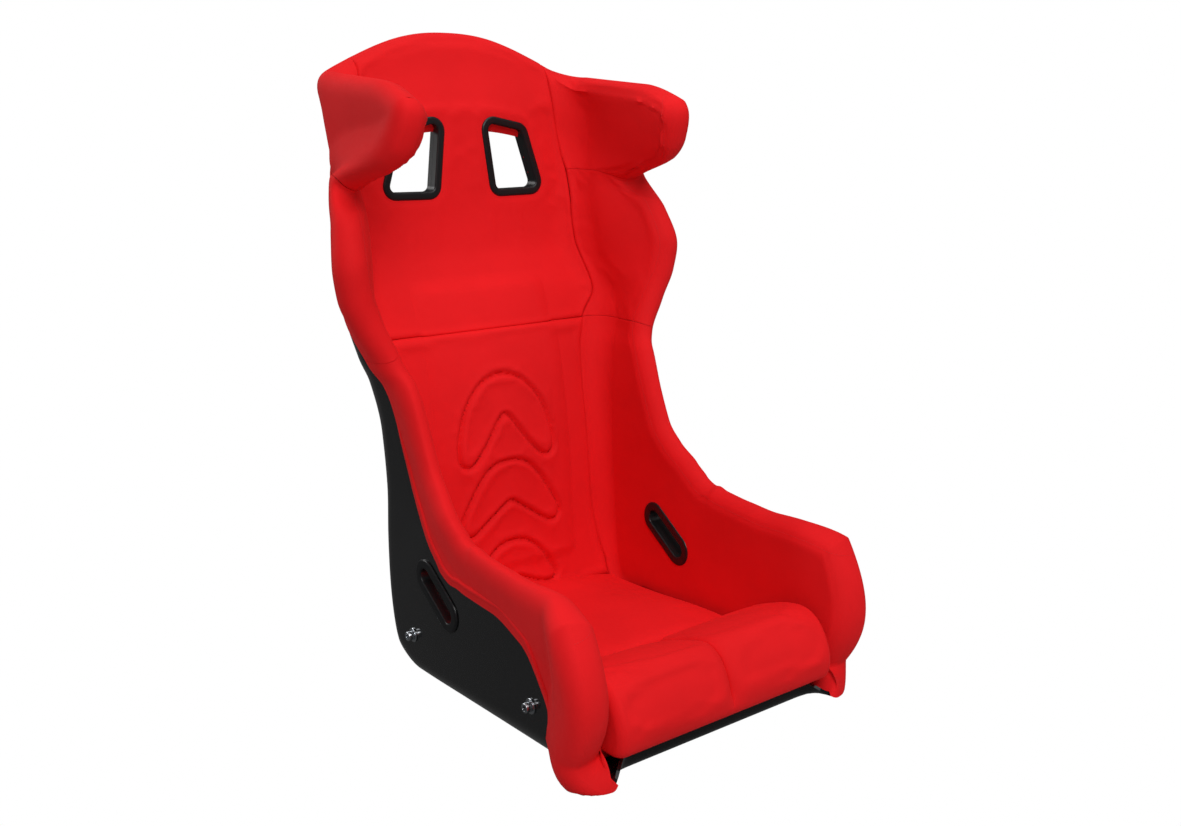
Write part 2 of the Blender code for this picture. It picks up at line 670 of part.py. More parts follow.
def make_shell(parent):
    verts, faces = shell_solid(0.0)
    shell = add_object("seat_shell", verts, faces, black_gelcoat, parent, smooth_angle=40)
    for side in (-1, 1):
        unite(shell, *bracket_land(side))
    clearance = BEZEL_SLEEVE + FIT_GAP
    cutters = [prism(path, clearance, -0.36, -0.20, frame) for path, frame in window_paths()]
    cutters += [prism(path, clearance, 0.15, 0.26, frame) for path, frame in lap_slot_paths()]
    path, frame = crotch_path()
    cutters.append(prism(path, clearance, -0.02, 0.02, frame))
    radius = INSERT_BARREL_RADIUS + FIT_GAP
    for side, y in fastener_places():
        verts, faces = lathe([(0, -0.02), (radius, -0.02), (radius, 0.02), (0, 0.02)], ROUND_SEGMENTS)
        frame = side_frame(side, y, MOUNT_Z)
        cutters.append(([frame @ v for v in verts], faces))
    cut(shell, cutters)
    return shell


# ---------------------------------------------------------- places of fittings
def window_paths():
    """Outline and frame of each shoulder-belt window; up is towards -Y."""
    frame = Matrix(((1, 0, 0, 0), (0, 0, -1, 0), (0, 1, 0, 0), (0, 0, 0, 1)))
    places = []
    for side in (-1, 1):
        corners = [(side * x, z) for x, z in WINDOW_CORNERS]
        places.append((rounded_polygon(corners, WINDOW_CORNER_RADIUS, 2), frame))
    return places


def side_frame(side, y, z, slope=0.0):
    """A frame on a side face: X down the slope to the front, Z outwards."""
    turn = math.radians(slope)
    along_x = Vector((0, -math.cos(turn), -math.sin(turn)))
    outward = Vector((side, 0, 0))
    across = outward.cross(along_x)
    frame = Matrix((along_x, across, outward)).transposed().to_4x4()
    frame.translation = Vector((side * TUB, y, z))
    return frame


def lap_slot_paths():
    """Outline and frame of each lap-belt slot; up is the distance from the centre plane."""
    path = stadium(LAP_SLOT_LENGTH, LAP_SLOT_WIDTH, 5)
    places = []
    for side in (-1, 1):
        frame = side_frame(side, *LAP_SLOT_CENTRE, LAP_SLOT_SLOPE)
        frame.translation.x = 0
        places.append((path, frame))
    return places


def crotch_path():
    """Outline and frame of the crotch-belt slot in the base."""
    return stadium(*CROTCH_SLOT_SIZE, 4), Matrix.Translation((0, CUSHION_JOINT_Y, 0))


def fastener_places():
    front = MOUNT_REAR_Y - MOUNT_SPACING
    return [(side, y) for side in (-1, 1) for y in (front, MOUNT_REAR_Y)]


def back_face(x, z):
    """y of the shell's outer face behind a point of the back."""
    run = z - (STATIONS[-1].z - STATIONS[-1].run)
    corner = float(along("corner", run))
    past = max(abs(x) - (float(along("half", run)) - corner), 0)
    return float(along("y", run)) - (corner - math.sqrt(max(corner ** 2 - past ** 2, 0)))


def window_planes(path):
    """The planes that the front and the rear window bezel sit on, as y."""
    faces = [back_face(px + nx * WINDOW_FLANGE, pz + nz * WINDOW_FLANGE)
             for (px, pz), (nx, nz) in path]
    front = min(faces) - SHELL_THICKNESS - BACK_FOAM + BEZEL_SINK
    return front, max(faces) + FIT_GAP


# ------------------------------------------------------------------ padding
def padding(name, s, v, parent, extra=0.0, drawn=1.0):
    """Foam and cloth on both sides of the shell, over the grid (s, v).

    extra: thickness added to the stations' foam.
    drawn: share of the foam left at each point, for drawn-in edges.
    """
    points, normals = sheet(s, v, reach=FOAM_STEP)
    run = run_of(s, v)
    share = np.minimum(side_share(v), 1)
    foam = along("foam", run) * (1 - share) + along("rim_foam", run) * share + extra
    distance = rim_distance(points)
    full = edge_fullness(distance)
    inside = points - normals * ((SHELL_THICKNESS + foam * drawn) * full)[..., None]
    band = along("band", run)
    band = np.maximum(band * (1 - smooth(distance / band / BAND_FADE)), HEM_STEP)
    outside = points + normals * (band * full)[..., None]
    outside[..., 2] = np.maximum(outside[..., 2], 0.0)
    verts, faces = closed_sheet(inside, outside)
    made = add_object(name, verts, faces, red_cloth, parent, smooth_angle=50)
    cut(made, [shell_solid(GLUE_GAP), bare_side()])
    return made


def section_rows(first, last):
    """Section rows between two runs, with both ends."""
    inner = [row_at(run) for run in SECTION_RUNS if first + 0.006 < run < last - 0.006]
    return [row_at(first)] + inner + [row_at(last)]


def side_grid(side, rows, columns):
    """(s, v) over a side piece, from its seam to the rim."""
    s = np.array(rows)[:, None]
    seam = along("seam", run_of(s, 0.5)) + SEAM_GAP * SEAM_SHARE
    v = side * (seam + (1 - seam) * np.array(columns))
    return np.broadcast_to(s, v.shape), v


def slab(low, high):
    """A wide flat block between two heights, for trimming."""
    corners = ((-0.4, -0.5), (0.4, -0.5), (0.4, 0.5), (-0.4, 0.5))
    return prism([(corner, (0, 0)) for corner in corners], 0, low, high, Matrix())


def make_side_padding(parent):
    gap = SEAM_GAP / 2
    thigh_rows = [0, 0.004, 0.012, 0.026, 0.045, 0.075] + section_rows(RUN_FRONT, WAIST_RUN - gap)
    shoulder_rows = section_rows(WAIST_RUN + gap, RUN_HEAD) + [0.835, 0.858]
    thigh_columns = (0, 0.16, 0.40, 0.62, 0.80, 0.91, 0.975, 1)
    upper_columns = (0, 0.16, 0.34, 0.54, 0.74, 0.88, 0.97, 1)
    pieces = []
    for side, word in ((-1, "left"), (1, "right")):
        thigh = padding(f"thigh_bolster_{word}", *side_grid(side, thigh_rows, thigh_columns), parent)
        grid = side_grid(side, shoulder_rows, upper_columns)
        shoulder = padding(f"shoulder_bolster_{word}", *grid, parent)
        cut(shoulder, [slab(NOTCH_Z - gap, 1)])
        wing = padding(f"head_wing_{word}", *side_grid(side, WING_ROWS, upper_columns), parent)
        cut(wing, [slab(0, NOTCH_Z + gap)])
        pieces.append((side, thigh, shoulder, wing))
    return pieces


def hem_row(v):
    """s of the arched hem on the back of the head."""
    head = STATIONS[-2]
    x = np.minimum(np.abs(v) / V_FLAT, 1) * (head.half - head.corner)
    x = x + head.corner * np.sin(corner_share(v) * math.pi / 2)
    z = ARCH_HEM_Z - ARCH_HEM_DROP * (x / ARCH_HEM_HALF_WIDTH) ** 2.2
    run = z - (head.z - head.run)
    return S_HEAD + (1 - S_HEAD) * (run - RUN_HEAD) / (run_limits(v)[1] - RUN_HEAD)


def make_back_panel(parent):
    """The middle padding from the lumbar pad to the top of the head."""
    rows = section_rows(WAIST_RUN + SEAM_GAP / 2, RUN_HEAD) + list(WING_ROWS)
    across = np.array((-1, -0.9, -0.6, -0.3, 0, 0.3, 0.6, 0.9, 1))
    s = np.array(rows)[:, None]
    seam = along("seam", run_of(s, 0.5)) - SEAM_GAP * SEAM_SHARE
    v = seam * across
    return padding("upper_back_panel", np.broadcast_to(s, v.shape), v, parent)


def make_lumbar_pad(parent):
    """The lower back pad: proud, crowned, with its edges drawn in."""
    gap = SEAM_GAP / 2
    rows = section_rows(0.035, WAIST_RUN - gap)
    rows = rows[:1] + [rows[0] + 0.004] + rows[1:-1] + [rows[-1] - 0.004, rows[-1]]
    across = np.array((-1, -0.96, -0.82, -0.5, -0.17, 0.17, 0.5, 0.82, 0.96, 1))
    s = np.array(rows)[:, None]
    seam = along("seam", run_of(s, 0.5)) - SEAM_GAP * SEAM_SHARE
    v = np.minimum(seam, 0.47) * across
    s = np.broadcast_to(s, v.shape)
    sides = 0.72 + 0.28 * smooth((1 - np.abs(across)) / 0.16)
    ends = np.minimum(smooth((s - rows[0]) / 0.012 + 0.3), smooth((rows[-1] - s) / 0.008 + 0.45))
    crown = 1 + 0.10 * np.cos(across * math.pi / 2)
    drawn = sides * crown * (0.55 + 0.45 * ends)
    return padding("lumbar_pad", s, v, parent, LUMBAR_STEP, drawn)


# ---------------------------------------------------------------- cushions
def cushion_solid(x_shares, ys, half, top, bottom, seam_z, radii, nose=None):
    """A cushion as a closed field of heights with rounded, drawn-in edges.

    radii: rounding of the upper and of the lower edges.
    nose: length of the rounding of the front end, if it is longer than theirs.
    """
    xs = half * np.asarray(x_shares)
    x, y = np.meshgrid(xs, ys, indexing="ij")
    edge = np.minimum(half - np.abs(x), np.minimum(y - ys[0], ys[-1] - y))
    if nose is not None:
        edge = np.minimum(edge, (y - ys[0]) / nose * radii[0])

    def fullness(distance, radius):
        q = np.clip(distance / radius, 0, 1)
        return np.sqrt(1 - (1 - q) ** 2)

    middle = seam_z(y)
    high = middle + (top(x, y) - middle) * fullness(edge, radii[0])
    low = middle - (middle - bottom(y)) * fullness(edge, radii[1])
    upper = np.stack([x, y, high], axis=-1)
    lower = np.stack([x, y, low], axis=-1)
    return closed_sheet(upper, lower)


def cushion_half_width():
    return TUB - SHELL_THICKNESS - BOLSTER_RIM_FOAM - CUSHION_SIDE_GAP


CUSHION_BASE_Z = SHELL_THICKNESS + STRIP_THICKNESS + 2 * FIT_GAP


def base_rise(y):
    """How much the base of the shell has risen at y, towards the rear corner."""
    run = np.linspace(RUN_FRONT, BASE_END_RUN, 60)
    return np.interp(y, along("y", run), along("z", run))


def make_seat_cushion(parent):
    front = CUSHION_JOINT_Y + SEAM_GAP / 2
    span = CUSHION_REAR_Y - front
    ys = front + span * np.array((0, 0.008, 0.035, 0.09, 0.3, 0.5, 0.7, 0.9, 0.965, 0.992, 1))
    shares = (-1, -0.985, -0.94, -0.86, -0.6, -0.3, 0, 0.3, 0.6, 0.86, 0.94, 0.985, 1)

    def top(x, y):
        crown = CUSHION_CROWN * (1 - (x / cushion_half_width()) ** 2)
        return CUSHION_SIDE_Z + crown + CUSHION_REAR_RISE * np.cos(math.pi * (y - front) / span)

    verts, faces = cushion_solid(shares, ys, cushion_half_width(), top,
                                 lambda y: CUSHION_BASE_Z + HEEL_CLEARANCE * base_rise(y),
                                 lambda y: np.full_like(y, CUSHION_SEAM_Z), CUSHION_RADII)
    return add_object("seat_cushion", verts, faces, red_cloth, parent, smooth_angle=50)


def make_thigh_cushion(parent):
    """The thigh support: two humps with a sewn channel between, over the lip."""
    rear = CUSHION_JOINT_Y - SEAM_GAP / 2
    span = rear - THIGH_NOSE_Y
    ys = THIGH_NOSE_Y + span * np.array((0, 0.012, 0.045, 0.11, 0.2, 0.27, 0.33, 0.45, 0.6, 0.8,
                                         0.93, 0.985, 1))
    half = cushion_half_width()
    channel = THIGH_CHANNEL_HALF_WIDTH / half
    shares = (-1, -0.985, -0.94, -0.84, -0.6, -0.3, -channel, -0.4 * channel, 0,
              0.4 * channel, channel, 0.3, 0.6, 0.84, 0.94, 0.985, 1)

    def top(x, y):
        rise = smooth((rear - y) / (rear - THIGH_CREST_Y))
        hump = THIGH_SIDE_RISE * (np.abs(x) / half) ** 2
        groove = THIGH_CHANNEL_DEPTH * np.clip(1 - np.abs(x) / THIGH_CHANNEL_HALF_WIDTH, 0, 1) ** 0.8
        return THIGH_REAR_Z + (THIGH_CREST_Z - THIGH_REAR_Z) * rise + hump * rise - groove

    def bottom(y):
        over_lip = smooth((LIP_START_Y + 0.014 - y) / 0.008)
        return CUSHION_BASE_Z + (LIP_HEIGHT + FIT_GAP + 0.0005 - CUSHION_BASE_Z) * over_lip

    def seam_z(y):
        return THIGH_SEAM_Z + THIGH_SEAM_RISE * smooth((LIP_START_Y + 0.03 - y) / 0.06)

    verts, faces = cushion_solid(shares, ys, half, top, bottom, seam_z, THIGH_RADII, THIGH_NOSE_LENGTH)
    return add_object("thigh_cushion", verts, faces, red_cloth, parent, smooth_angle=50)


def make_strips(parent):
    """Hook-and-loop strips on the base, under the loose cushions."""
    width, length = STRIP_SIZE
    corners = ((-width / 2, -length / 2), (width / 2, -length / 2),
               (width / 2, length / 2), (-width / 2, length / 2))
    outline = rounded_polygon(corners, STRIP_CORNER_RADIUS, 2)
    low = SHELL_THICKNESS + FIT_GAP
    for name, y in STRIP_PLACES.items():
        verts, faces = prism(outline, 0, low, low + STRIP_THICKNESS, Matrix.Translation((0, y, 0)))
        add_object(name, verts, faces, black_strip, parent)


# ---------------------------------------------------------------- trim rings
def bezel_profile(width, face, end, proud):
    """Section of a bezel: a flange of `width` on `face`, and a sleeve to `end`.

    `proud` is how far the flange rises past the face, with its sign.
    """
    sign = math.copysign(1, proud)
    top = face + proud
    bevel = abs(proud) * 0.4
    return ((0, end), (0, top - sign * bevel * 0.5), (bevel * 0.5, top),
            (width - bevel, top), (width, top - sign * bevel), (width, face),
            (BEZEL_SLEEVE, face), (BEZEL_SLEEVE, end))


def make_bezels(parent, back_panel, thighs):
    names = ("left", "right")
    for word, (path, frame) in zip(names, window_paths()):
        front, rear = window_planes(path)
        joint = min(front + FRONT_SLEEVE_LENGTH, rear - SHELL_THICKNESS - BEZEL_SINK)
        profile = bezel_profile(WINDOW_FLANGE, -front, -(joint - FIT_GAP), BEZEL_PROUD)
        verts, faces = swept_ring(path, profile, frame)
        add_object(f"window_bezel_front_{word}", verts, faces, black_plastic, parent, 35)
        profile = bezel_profile(WINDOW_FLANGE, -rear, -joint, -BEZEL_PROUD)
        verts, faces = swept_ring(path, profile, frame)
        add_object(f"window_bezel_rear_{word}", verts, faces, black_plastic, parent, 35)
        seat = prism(path, WINDOW_FLANGE + FIT_GAP, -front - FIT_GAP, -front + 0.05, frame)
        through = prism(path, BEZEL_SLEEVE + FIT_GAP, -0.36, -0.15, frame)
        cut(back_panel, [seat, through])
    inner_face = TUB - SHELL_THICKNESS - BOLSTER_FOAM + LAP_BEZEL_SINK
    joint = inner_face + FRONT_SLEEVE_LENGTH
    for word, thigh, (path, frame) in zip(names, thighs, lap_slot_paths()):
        profile = bezel_profile(LAP_FLANGE, TUB + FIT_GAP, joint, BEZEL_PROUD)
        verts, faces = swept_ring(path, profile, frame)
        add_object(f"lap_slot_bezel_outer_{word}", verts, faces, black_plastic, parent, 35)
        profile = bezel_profile(LAP_FLANGE, inner_face, joint - FIT_GAP, -BEZEL_PROUD)
        verts, faces = swept_ring(path, profile, frame)
        add_object(f"lap_slot_bezel_inner_{word}", verts, faces, black_plastic, parent, 35)
        seat = prism(path, LAP_FLANGE + FIT_GAP, 0.12, inner_face + FIT_GAP, frame)
        through = prism(path, BEZEL_SLEEVE + FIT_GAP, 0.12, 0.26, frame)
        cut(thigh, [seat, through])
    path, frame = crotch_path()
    profile = bezel_profile(CROTCH_FLANGE, SHELL_THICKNESS + FIT_GAP, FIT_GAP, STRIP_THICKNESS)
    verts, faces = swept_ring(path, profile, frame)
    add_object("crotch_slot_trim", verts, faces, black_plastic, parent, 35)


# ---------------------------------------------------------------- fasteners
def place_on_side(made, side, y):
    """Stand a turned piece on the side face, its Z pointing outwards."""
    made.location = (side * TUB, y, MOUNT_Z)
    made.rotation_euler = (0, side * math.pi / 2, 0)


def make_fasteners(parent, thighs):
    head = WASHER_THICKNESS + 2 * FIT_GAP
    top = head + BOLT_HEAD_HEIGHT
    bolt = [(0, head - BOLT_LENGTH), (BOLT_RADIUS, head - BOLT_LENGTH), (BOLT_RADIUS, head),
            (BOLT_HEAD_RADIUS, head), (BOLT_HEAD_RADIUS, top - BOLT_HEAD_BEVEL),
            (BOLT_HEAD_RADIUS - BOLT_HEAD_BEVEL, top), (BOLT_SOCKET_APOTHEM, top),
            (BOLT_SOCKET_APOTHEM, top - BOLT_SOCKET_DEPTH), (0, top - BOLT_SOCKET_DEPTH)]
    bore = BOLT_RADIUS + FIT_GAP
    washer = [(bore, FIT_GAP), (WASHER_RADIUS, FIT_GAP),
              (WASHER_RADIUS, FIT_GAP + WASHER_THICKNESS), (bore, FIT_GAP + WASHER_THICKNESS)]
    wall = -SHELL_THICKNESS - FIT_GAP
    flange = wall - INSERT_FLANGE_THICKNESS
    end = wall - INSERT_DEPTH + SHELL_THICKNESS
    insert = [(bore, end), (INSERT_BARREL_RADIUS, end), (INSERT_BARREL_RADIUS, flange),
              (INSERT_FLANGE_RADIUS, flange), (INSERT_FLANGE_RADIUS, wall),
              (INSERT_BARREL_RADIUS, wall), (INSERT_BARREL_RADIUS, -FIT_GAP), (bore, -FIT_GAP)]
    for side, y in fastener_places():
        word = f"{'front' if y < 0 else 'rear'}_{'left' if side < 0 else 'right'}"
        for name, profile, hexagonal in (("side_bolt", bolt, (6, 7)), ("side_washer", washer, ()),
                                         ("threaded_insert", insert, ())):
            verts, faces = lathe(profile, ROUND_SEGMENTS, hexagonal)
            piece = add_object(f"{name}_{word}", verts, faces, zinc, parent, 35)
            place_on_side(piece, side, y)
        pocket = INSERT_FLANGE_RADIUS + 0.001
        verts, faces = lathe([(0, end - 0.001), (pocket, end - 0.001), (pocket, wall + 0.001),
                              (0, wall + 0.001)], ROUND_SEGMENTS)
        frame = side_frame(side, y, MOUNT_Z)
        cut(thighs[0 if side < 0 else 1], [([frame @ v for v in verts], faces)])


# --------------------------------------------------------------------- main
def centre_on_origin(seat):
    """Move the seat along Y so that its box stands centred on the origin."""
    bpy.context.view_layer.update()
    graph = bpy.context.evaluated_depsgraph_get()
    reach = []
    for child in seat.children:
        if not child.hide_render:
            corners = [child.matrix_world @ Vector(c) for c in child.evaluated_get(graph).bound_box]
            reach += [corner.y for corner in corners]
    seat.location.y = -(min(reach) + max(reach)) / 2


def main():
    for old in list(bpy.data.objects):
        bpy.data.objects.remove(old, do_unlink=True)
    seat = bpy.data.objects.new("racing_seat", None)
    bpy.context.collection.objects.link(seat)
    make_shell(seat)
    sides = make_side_padding(seat)
    thighs = [thigh for _, thigh, _, _ in sides]
    back_panel = make_back_panel(seat)
    make_lumbar_pad(seat)
    make_seat_cushion(seat)
    make_thigh_cushion(seat)
    make_strips(seat)
    make_bezels(seat, back_panel, thighs)
    make_fasteners(seat, thighs)
    centre_on_origin(seat)


main()
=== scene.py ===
"""Looks of a fixed-back racing seat: cloth covers, gelcoat shell, trim and fasteners.

Covers and shell lie on one moulding surface. It is the surface that the CAD parts
lie on, apart from thicker padding outside the shoulders, thicker front ends of the
bolsters, and the lower edge of the head wings.
`run` follows the seat from the front lip, along the base and up the back; `v`
crosses it from the left rim (-1) over the middle (0) to the right rim (+1).
Metres, +Z up, the sitter looks along -Y.
"""
import logging
import math
from dataclasses import dataclass, field
from enum import Enum
from typing import Callable, Dict, List, NamedTuple, Optional, Sequence, Tuple

import bmesh
import bpy
import numpy as np
from mathutils import Matrix, Vector, kdtree


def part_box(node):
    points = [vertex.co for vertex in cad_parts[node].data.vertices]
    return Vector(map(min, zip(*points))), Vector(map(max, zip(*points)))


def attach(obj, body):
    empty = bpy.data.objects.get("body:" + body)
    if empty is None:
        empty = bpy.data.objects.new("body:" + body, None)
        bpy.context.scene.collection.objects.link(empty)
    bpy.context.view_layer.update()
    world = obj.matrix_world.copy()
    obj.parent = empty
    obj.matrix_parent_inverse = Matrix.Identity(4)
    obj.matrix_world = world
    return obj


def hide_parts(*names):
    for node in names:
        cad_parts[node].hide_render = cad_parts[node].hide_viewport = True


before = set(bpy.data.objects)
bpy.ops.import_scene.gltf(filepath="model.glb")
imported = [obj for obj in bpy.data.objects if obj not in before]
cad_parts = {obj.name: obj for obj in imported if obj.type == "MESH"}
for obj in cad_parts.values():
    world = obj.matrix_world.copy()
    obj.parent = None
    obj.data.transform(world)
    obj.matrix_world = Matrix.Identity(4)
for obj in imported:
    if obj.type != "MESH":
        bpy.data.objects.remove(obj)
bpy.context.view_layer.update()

Array = np.ndarray
Point = Tuple[float, float]
LOG = logging.getLogger("racing_seat")
SIDES = ((-1, "left"), (1, "right"))


# ------------------------------------------------------------ moulding surface
class Section(NamedTuple):
    """One cross-section of the seat: its place, its form and its padding."""

    run: float
    y: float
    z: float
    tilt: float
    half: float
    corner: float
    rim_x: float
    rim_depth: float
    foam: float
    rim_foam: float
    band: float
    seam: float
    hem: float


SECTIONS = (
    Section(-0.520, -0.355, 0.000, 0, 0.222, 0.034, 0.226, 0.190, 0.036, 0.032, 0.020, 0.50, 0.56),
    Section(-0.460, -0.295, 0.000, 1, 0.219, 0.034, 0.224, 0.210, 0.036, 0.032, 0.020, 0.50, 0.58),
    Section(-0.385, -0.220, 0.000, 5, 0.205, 0.034, 0.205, 0.223, 0.018, 0.022, 0.016, 0.60, 0.74),
    Section(-0.320, -0.155, 0.000, 10, 0.205, 0.034, 0.205, 0.224, 0.018, 0.020, 0.013, 0.635, 0.86),
    Section(-0.220, -0.055, 0.000, 20, 0.205, 0.034, 0.205, 0.238, 0.018, 0.019, 0.011, 0.635, 0.90),
    Section(-0.120, 0.045, 0.000, 30, 0.205, 0.034, 0.205, 0.264, 0.018, 0.018, 0.010, 0.635, 0.90),
    Section(-0.055, 0.110, 0.000, 37, 0.205, 0.036, 0.205, 0.291, 0.018, 0.018, 0.010, 0.635, 0.90),
    Section(0.000, 0.168, 0.020, 43, 0.205, 0.042, 0.205, 0.304, 0.016, 0.018, 0.010, 0.58, 0.90),
    Section(0.060, 0.188, 0.080, 49, 0.205, 0.048, 0.205, 0.272, 0.016, 0.018, 0.010, 0.48, 0.89),
    Section(0.150, 0.196, 0.170, 58, 0.203, 0.050, 0.200, 0.215, 0.016, 0.018, 0.010, 0.45, 0.87),
    Section(0.230, 0.198, 0.250, 68, 0.200, 0.050, 0.198, 0.172, 0.016, 0.018, 0.010, 0.45, 0.84),
    Section(0.310, 0.205, 0.330, 78, 0.201, 0.052, 0.198, 0.150, 0.016, 0.018, 0.011, 0.45, 0.80),
    Section(0.380, 0.217, 0.400, 85, 0.210, 0.056, 0.200, 0.139, 0.016, 0.018, 0.012, 0.45, 0.78),
    Section(0.420, 0.227, 0.440, 90, 0.222, 0.060, 0.208, 0.131, 0.016, 0.018, 0.016, 0.46, 0.765),
    Section(0.470, 0.244, 0.490, 90, 0.230, 0.066, 0.236, 0.143, 0.016, 0.018, 0.021, 0.52, 0.745),
    Section(0.510, 0.262, 0.530, 90, 0.223, 0.070, 0.260, 0.162, 0.016, 0.020, 0.024, 0.53, 0.70),
    Section(0.550, 0.274, 0.570, 90, 0.215, 0.072, 0.268, 0.175, 0.016, 0.020, 0.024, 0.53, 0.64),
    Section(0.600, 0.277, 0.620, 90, 0.211, 0.068, 0.262, 0.158, 0.016, 0.020, 0.021, 0.53, 0.575),
    Section(0.650, 0.277, 0.670, 90, 0.213, 0.060, 0.249, 0.122, 0.016, 0.020, 0.016, 0.51, 0.56),
    Section(0.680, 0.277, 0.700, 90, 0.215, 0.058, 0.233, 0.222, 0.016, 0.028, 0.018, 0.48, 0.52),
    Section(0.700, 0.277, 0.720, 90, 0.214, 0.056, 0.224, 0.248, 0.016, 0.028, 0.018, 0.47, 0.50),
    Section(0.740, 0.277, 0.760, 90, 0.211, 0.056, 0.215, 0.264, 0.016, 0.028, 0.018, 0.46, 0.48),
    Section(0.790, 0.291, 0.810, 90, 0.205, 0.054, 0.209, 0.247, 0.022, 0.028, 0.018, 0.46, 0.48),
    Section(0.880, 0.302, 0.900, 90, 0.196, 0.048, 0.198, 0.219, 0.022, 0.028, 0.018, 0.46, 0.48),
)


def monotone(knots: Array, values: Array, at: Array) -> Array:
    """Monotone cubic through (knots, values).

    Args:
        knots: increasing places.
        values: one value for each knot.
        at: where it is read.

    Returns:
        The values at those places; they never overshoot a knot.
    """
    width = np.diff(knots)
    slope = np.diff(values) / width
    tangent = np.concatenate([[slope[0]], np.zeros(len(knots) - 2), [slope[-1]]])
    for i in range(1, len(knots) - 1):
        if slope[i - 1] * slope[i] > 0:
            before = 2 * width[i] + width[i - 1]
            after = width[i] + 2 * width[i - 1]
            tangent[i] = (before + after) / (before / slope[i - 1] + after / slope[i])
    i = np.clip(np.searchsorted(knots, at, side="right") - 1, 0, len(knots) - 2)
    t = (at - knots[i]) / width[i]
    return ((1 + 2 * t) * (1 - t) ** 2 * values[i] + t * (1 - t) ** 2 * width[i] * tangent[i]
            + t * t * (3 - 2 * t) * values[i + 1] + t * t * (t - 1) * width[i] * tangent[i + 1])


def smooth(t: Array) -> Array:
    """Smooth step from 0 to 1."""
    t = np.clip(t, 0, 1)
    return t * t * (3 - 2 * t)


def rounding(distance: Array, radius: float) -> Array:
    """Round edge: 0 at distance 0, rising like a quarter circle to 1 at the radius."""
    return np.sqrt(1 - (1 - np.clip(distance / radius, 0, 1)) ** 2)


